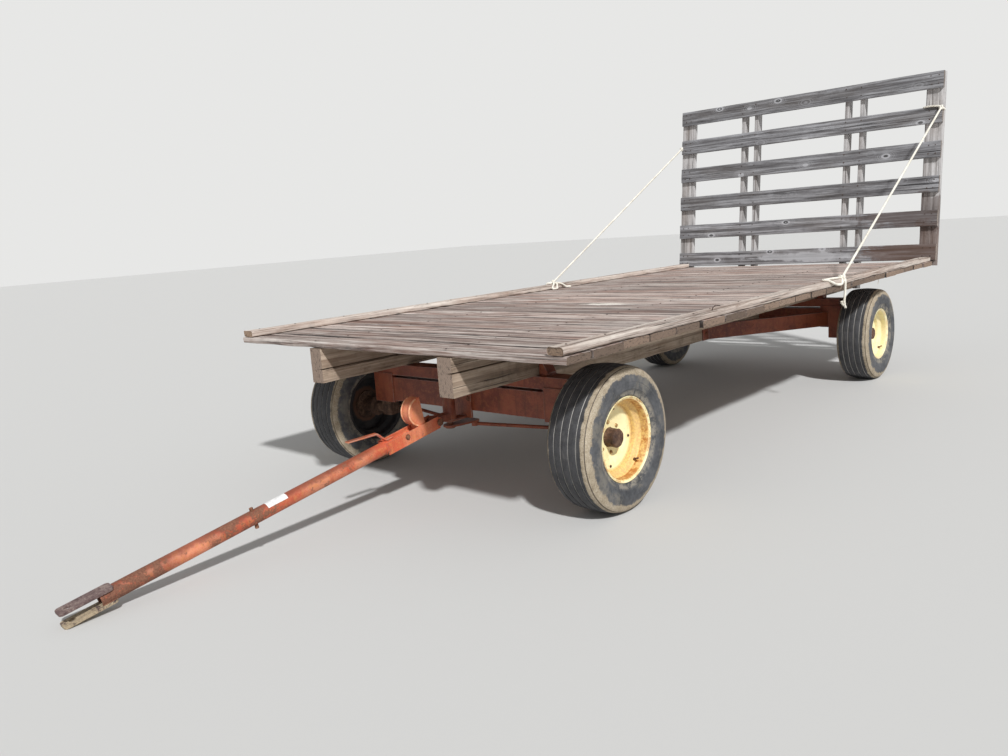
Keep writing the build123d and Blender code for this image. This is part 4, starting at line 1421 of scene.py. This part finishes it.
def right_rope():
    """Wrapped behind the post above, tied over the rail below, with a loop and two tails."""
    head = on_rack(-rack_half + HEAD_INSET, 1.22)
    foot = beside_axle(-rails_high.x + 0.03, 2.275, rails_high.z + 0.008)
    wrap = round_rack(
        -1, (0.003, 1.215, -0.012), (0.003, 1.21, -0.05), (0.03, 1.2, -0.078), (0.08, 1.2, -0.0765),
        (0.12, 1.19, -0.0765), (0.14, 1.16, -0.0765),
    )
    loop = by_rail(
        -1, (0.06, 2.268, 0.932), (0.094, 2.255, 0.926), (0.104, 2.24, 0.9), (0.13, 2.21, 0.893),
        (0.12, 2.165, 0.893), (0.098, 2.19, 0.905), (0.08, 2.23, 0.93),
    )
    turn_under = by_rail(
        -1, (0.02, 2.25, 0.932), (-0.002, 2.24, 0.93), (-0.0115, 2.235, 0.9), (-0.0115, 2.235, 0.85),
        (0.02, 2.24, 0.839), (0.1, 2.26, 0.840),
    )
    tail = by_rail(-1, (0.07, 2.3, 0.931), (0.098, 2.325, 0.918), (0.11, 2.36, 0.894), (0.125, 2.4, 0.893))
    return [
        stay(foot, head),
        [before(head, 0.012), *wrap],
        knot(round_rack(-1, (0.08, 1.2, -0.083))[0], 0.014, 0.9),
        knot(before(head, 0.016), 0.014, 0.2),
        knot(foot, 0.021, 0.8),
        [foot, *loop, foot],
        [foot, *turn_under],
        [foot, *tail],
    ]


def make_ropes(grower, finish):
    for node, runs in (("rope_left", left_rope()), ("rope_right", right_rope())):
        guide = Guide()
        for run in runs:
            guide.run(run)
        stand_for(guide.grow(f"{node}_strands", grower, Radius=ROPE_RADIUS, Finish=finish), node)


# Nails: two through each plank into each sill, a scattered row down each rail, two through each slat end
DECK_NAIL_SINK = 0.0018
RAIL_NAIL_SINK = 0.0016
RACK_NAIL_SINK = 0.0014
RAIL_NAILS_FROM = 0.09
RAIL_NAILS_TO = 0.05
POST_NAIL_INSETS = (0.05, 0.105)
SLAT_NAIL_SHIFTS = (-0.034, 0.036)


def make_nails(grower, finish):
    nails = Guide()
    for _, across, _ in plank_rows():
        for side in SIDES.values():
            for shift in (-NAIL_ACROSS, NAIL_ACROSS):
                x = side * NAIL_ALONG + chance.uniform(-0.012, 0.012)
                nails.stud(Vector((x, across + shift, deck_high.z - DECK_NAIL_SINK)), Z)
    for side in SIDES.values():
        y = deck_low.y + RAIL_NAILS_FROM
        while y < deck_high.y - RAIL_NAILS_TO:
            x = side * (rails_high.x - RAIL_WIDTH / 2 + chance.uniform(-0.018, 0.018))
            nails.stud(Vector((x, y, rails_high.z - RAIL_NAIL_SINK)), Z)
            y += chance.uniform(0.2, 0.42)
    rows = [rack_half - inset for inset in POST_NAIL_INSETS] + [SILL_X - CLASP, SILL_X + CLASP]
    for number in range(SLAT_COUNT):
        up = SLAT_FIRST + number * SLAT_PITCH + SLAT_WIDTH / 2
        for side in SIDES.values():
            for row in rows:
                for shift in SLAT_NAIL_SHIFTS:
                    across = side * row + chance.uniform(-0.006, 0.006)
                    nails.stud(on_rack(across, up + shift, -RACK_NAIL_SINK), rack_out)
    heads = nails.grow("nail_heads", grower, Radius=0.0052, Height=0.0026, Finish=finish)
    belong(heads, "wagon", "pin_steel")


# Bolts through the stakes, the plates at both ends of the reach, the pivot's lugs and the tongue's channel
STAKE_GAP = 0.002
STAKE_THICK = 0.016
STAKE_BOLTS = (0.03, 0.075)
PLATE_FACE = 0.057
BRACKET_BOLTS = (0.05, 0.19)
CLAMP_BOLTS = (0.05, 0.14)
LUG_X = 0.053
LUG_INSET = 0.012
LUG_BOLTS = (0.025, 0.075)
CHANNEL_HALF = 0.0403
CHANNEL_BOLT = (-0.221, 0.010)


def make_bolts(grower, finish):
    bolts = Guide()
    stakes_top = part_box("front_stakes")[1].z
    bracket_low, bracket_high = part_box("reach_bracket")
    clamp_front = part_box("rear_braces")[0].y
    pivot_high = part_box("pivot_bracket")[1]
    stake_face = SILL_X + SILL_WIDTH / 2 + STAKE_GAP + STAKE_THICK
    for y in (axle_y, rear_axle_y):
        for side in SIDES.values():
            for down in STAKE_BOLTS:
                bolts.stud(Vector((side * stake_face, y, stakes_top - down)), X * side)
    level = (bracket_low.z + bracket_high.z) / 2
    rows = [bracket_high.y - inset for inset in BRACKET_BOLTS]
    rows += [clamp_front + inset for inset in CLAMP_BOLTS]
    for side in SIDES.values():
        for y in rows:
            bolts.stud(Vector((side * PLATE_FACE, y, level)), X * side)
    for side in SIDES.values():
        for down in LUG_BOLTS:
            bolts.stud(Vector((side * LUG_X, pivot_high.y - LUG_INSET, pivot_high.z - down)), -Y)
    heads = bolts.grow("frame_bolts", grower, Radius=0.012, Height=0.0085, Finish=finish)
    belong(heads, "wagon", "pin_steel")
    bolts = Guide()
    for side in SIDES.values():
        bolts.stud(on_tongue(side * CHANNEL_HALF, *CHANNEL_BOLT), tongue_frame.to_3x3() @ X * side)
    heads = bolts.grow("channel_bolts", grower, Radius=0.0125, Height=0.008, Finish=finish)
    belong(heads, "tongue", "gear_paint")


# Welds: a bead's middle lies a little off the faces that it joins
EAR_CENTRE = (-0.099, 0.104)
EAR_RADIUS = 0.077
EAR_HALF = 0.033
TUBE_RADIUS = 0.034
TUBE_END = 1.825
CLEVIS_ROOT = 1.765
CLEVIS_LEVEL = 0.0224
CHANNEL_MOUTH = 0.3545
# Arcs of beads: centre, radius, first and last angle in degrees and the number of steps
EAR_ARC = (EAR_CENTRE, EAR_RADIUS - 0.0015, 100, 245, 26)
MOUTH_ARC = ((0, 0), TUBE_RADIUS + 0.001, -60, 60, 10)
AXLE_BEAD_OUT = 0.0015
STAKE_BEAD_OUT = 0.001
STAKE_BEAD_RISE = 0.002
STAKE_BEAD_FROM = SILL_X + 0.055
STAKE_BEAD_LENGTH = 0.05


def arc(centre, radius, first, last, count):
    """Flat points along an arc, in degrees from the first axis."""
    angles = [math.radians(first + (last - first) * k / count) for k in range(count + 1)]
    return [(centre[0] + radius * math.cos(a), centre[1] + radius * math.sin(a)) for a in angles]


def make_tongue_welds(wire, finishes):
    """The ear's rims, a real lip whose pale paint is a painted highlight, and beads along the clevis and
    round the channel's mouth.
    """
    rims = Guide()
    for side in SIDES.values():
        rims.run([on_tongue(side * (EAR_HALF - 0.001), y, z) for y, z in arc(*EAR_ARC)])
    piece = rims.grow("ear_rims", wire, Radius=0.0048, Uneven=0.1, Step=0.006, Finish=finishes["tongue_rim_highlight"])
    belong(piece, "tongue", "gear_paint")
    beads = Guide()
    out = math.sqrt(TUBE_RADIUS ** 2 - CLEVIS_LEVEL ** 2) + 0.0005
    steps = [CLEVIS_ROOT + (TUBE_END - CLEVIS_ROOT) * k / 8 for k in range(9)]
    for lift in (-1, 1):
        for side in SIDES.values():
            beads.run([on_tongue(side * out, -step, lift * CLEVIS_LEVEL) for step in steps])
    for side in SIDES.values():
        beads.run([on_tongue(side * x, -CHANNEL_MOUTH, z) for x, z in arc(*MOUTH_ARC)])
    piece = beads.grow(
        "tongue_welds", wire, Radius=0.0034, Uneven=0.3, Step=0.005, Finish=finishes["tongue"]
    )
    belong(piece, "tongue", "gear_paint")


def make_axle_welds(wire, finish):
    """Beads up the axles' ends and along the stakes' feet."""
    beads = Guide()
    for node in ("front_axle", "rear_axle"):
        low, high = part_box(node)
        for side in SIDES.values():
            for y in (low.y - AXLE_BEAD_OUT, high.y + AXLE_BEAD_OUT):
                beads.run([Vector((side * high.x, y, low.z + (high.z - low.z) * k / 12)) for k in range(13)])
    for node in ("front_stakes", "rear_stakes"):
        low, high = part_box(node)
        for side in SIDES.values():
            for y in (low.y - STAKE_BEAD_OUT, high.y + STAKE_BEAD_OUT):
                across = [side * (STAKE_BEAD_FROM + STAKE_BEAD_LENGTH * k / 6) for k in range(7)]
                beads.run([Vector((x, y, low.z + STAKE_BEAD_RISE)) for x in across])
    piece = beads.grow("axle_welds", wire, Radius=0.004, Uneven=0.3, Step=0.006, Finish=finish)
    belong(piece, "wagon", "gear_paint")


# Small things left on the wagon: a blank label, a bent nail and straws that hang between the planks
LABEL_AT = (0.945, 1.05)
LABEL_TURN = (102, 32)
LABEL_STEPS = 8
LABEL_LIFTS = (0.0007, 0.0001)
STRAW_COUNT = 12
# How far down its drop and how far into its swing a straw's points lie
STRAW_SHARES = ((0, 0), (0.4, 0.2), (0.8, 0.6), (1, 1))
BENT_NAIL = ((0, 0, 0), (0.002, -0.004, 0.02), (0.014, 0.006, 0.034), (0.034, 0.022, 0.03))


def make_label(finish):
    """A thin blank sheet bent round the tongue's tube."""
    form = Form("section")
    rows = []
    for k in range(LABEL_STEPS + 1):
        angle = math.radians(LABEL_TURN[0] + (LABEL_TURN[1] - LABEL_TURN[0]) * k / LABEL_STEPS)
        row = []
        for lift in LABEL_LIFTS:
            reach = TUBE_RADIUS + lift
            for back in LABEL_AT:
                place = on_tongue(reach * math.cos(angle), -back, reach * math.sin(angle))
                row.append(form.point(place, section=(back, angle, 0)))
        rows.append((row[0], row[1], row[3], row[2]))
    for first, second in zip(rows, rows[1:]):
        form.band(first, second)
    for row in (rows[0], rows[-1]):
        form.face(row)
    belong(form.build("blank_label", finish), "tongue", "gear_paint")


def make_straws(wire, finish):
    straws = Guide()
    for _ in range(STRAW_COUNT):
        number = chance.randrange(1, PLANK_COUNT)
        y = deck_low.y + FIRST_PLANK + number * (PLANK_WIDTH + PLANK_JOINT) - PLANK_JOINT / 2
        x = chance.choice((1, 1, -1)) * chance.uniform(0.62, 1.17)
        start = Vector((x, y, deck_low.z + 0.012))
        swing = Vector((chance.uniform(-0.05, 0.05), chance.uniform(-0.06, 0.06), 0))
        drop = chance.uniform(0.03, 0.07)
        straws.run([start - Z * drop * down + swing * aside for down, aside in STRAW_SHARES])
    piece = straws.grow("straws", wire, Radius=0.0011, Uneven=0.15, Step=0.012, Finish=finish)
    belong(piece, "wagon", "deck_wood")


def make_bent_nail(wire, finish):
    foot = beside_axle(rails_high.x - 0.012, 0.62, rails_high.z - 0.01)
    nail = Guide()
    nail.run([foot + Vector(step) for step in BENT_NAIL])
    piece = nail.grow("bent_nail", wire, Radius=0.0024, Uneven=0.05, Step=0.006, Finish=finish)
    belong(piece, "wagon", "pin_steel")


# Studio: a plain pale floor, a pale surround and a soft sun from where it stood
FLOOR_REACH = 60
FLOOR_COLOUR = (0.62, 0.62, 0.61, 1)
SURROUND_COLOUR = (0.8, 0.8, 0.79, 1)
SKY_STRENGTH = 0.36
SUN_STRENGTH = 3.3
SUN_SIZE = 0.06
SUN_TILT = math.radians(47.5)
SUN_TURN = math.radians(58)


def make_floor():
    data = bpy.data.meshes.new("floor")
    reach = FLOOR_REACH
    corners = [(-reach, -reach, 0), (reach, -reach, 0), (reach, reach, 0), (-reach, reach, 0)]
    data.from_pydata(corners, [], [(0, 1, 2, 3)])
    data.materials.append(Finish("studio_floor").close(FLOOR_COLOUR, 0.9))
    floor = bpy.data.objects.new("floor", data)
    scene.collection.objects.link(floor)


def make_surround():
    """White light on the wagon, and a pale colour where the camera, metal and glass see the surround."""
    world = bpy.data.worlds.new("studio")
    world.use_nodes = True
    tree = NodeTree(world.node_tree)
    tree.tree.nodes.clear()
    light = tree.node("ShaderNodeBackground", inputs={"Color": (1, 1, 1, 1), "Strength": SKY_STRENGTH})
    seen = tree.node("ShaderNodeBackground", inputs={"Color": SURROUND_COLOUR, "Strength": 1.0})
    path = tree.node("ShaderNodeLightPath").socket.node
    rays = ("Is Camera Ray", "Is Glossy Ray", "Is Transmission Ray")
    camera, glossy, through = (Value(tree, path.outputs[ray]) for ray in rays)
    share = camera.maths("MAXIMUM", glossy).maths("MAXIMUM", through)
    tree.end("ShaderNodeOutputWorld", tree.node("ShaderNodeMixShader", inputs={0: share, 1: light, 2: seen}))
    scene.world = world


def make_sun():
    data = bpy.data.lights.new("sun", "SUN")
    data.energy = SUN_STRENGTH
    data.angle = SUN_SIZE
    sun = bpy.data.objects.new("sun", data)
    sun.rotation_euler = (SUN_TILT, 0, SUN_TURN)
    scene.collection.objects.link(sun)


make_camera()
finishes = make_finishes()
nail_heads = stud_grower("nail_grower", sides=12, domed=0.8)
bolt_heads = stud_grower("bolt_grower", sides=6, domed=0.94)
wires = wire_grower()
make_ropes(rope_grower(), finishes["rope"])
make_deck(finishes["deck"])
make_rails(finishes["rail"])
make_long_timbers(finishes["sill"])
make_slats(finishes["rack"])
make_posts(finishes["post"])
for wheel_end in ("front", "rear"):
    for wheel_side in SIDES:
        make_wheel(wheel_end, wheel_side, finishes, bolt_heads)
make_iron(finishes)
make_nails(nail_heads, finishes["nail"])
make_bolts(bolt_heads, finishes["pin"])
make_tongue_welds(wires, finishes)
make_axle_welds(wires, finishes["axle"])
make_label(finishes["label"])
make_straws(wires, finishes["straw"])
make_bent_nail(wires, finishes["nail"])
make_floor()
make_surround()
make_sun()
scene.view_settings.view_transform = "Standard"
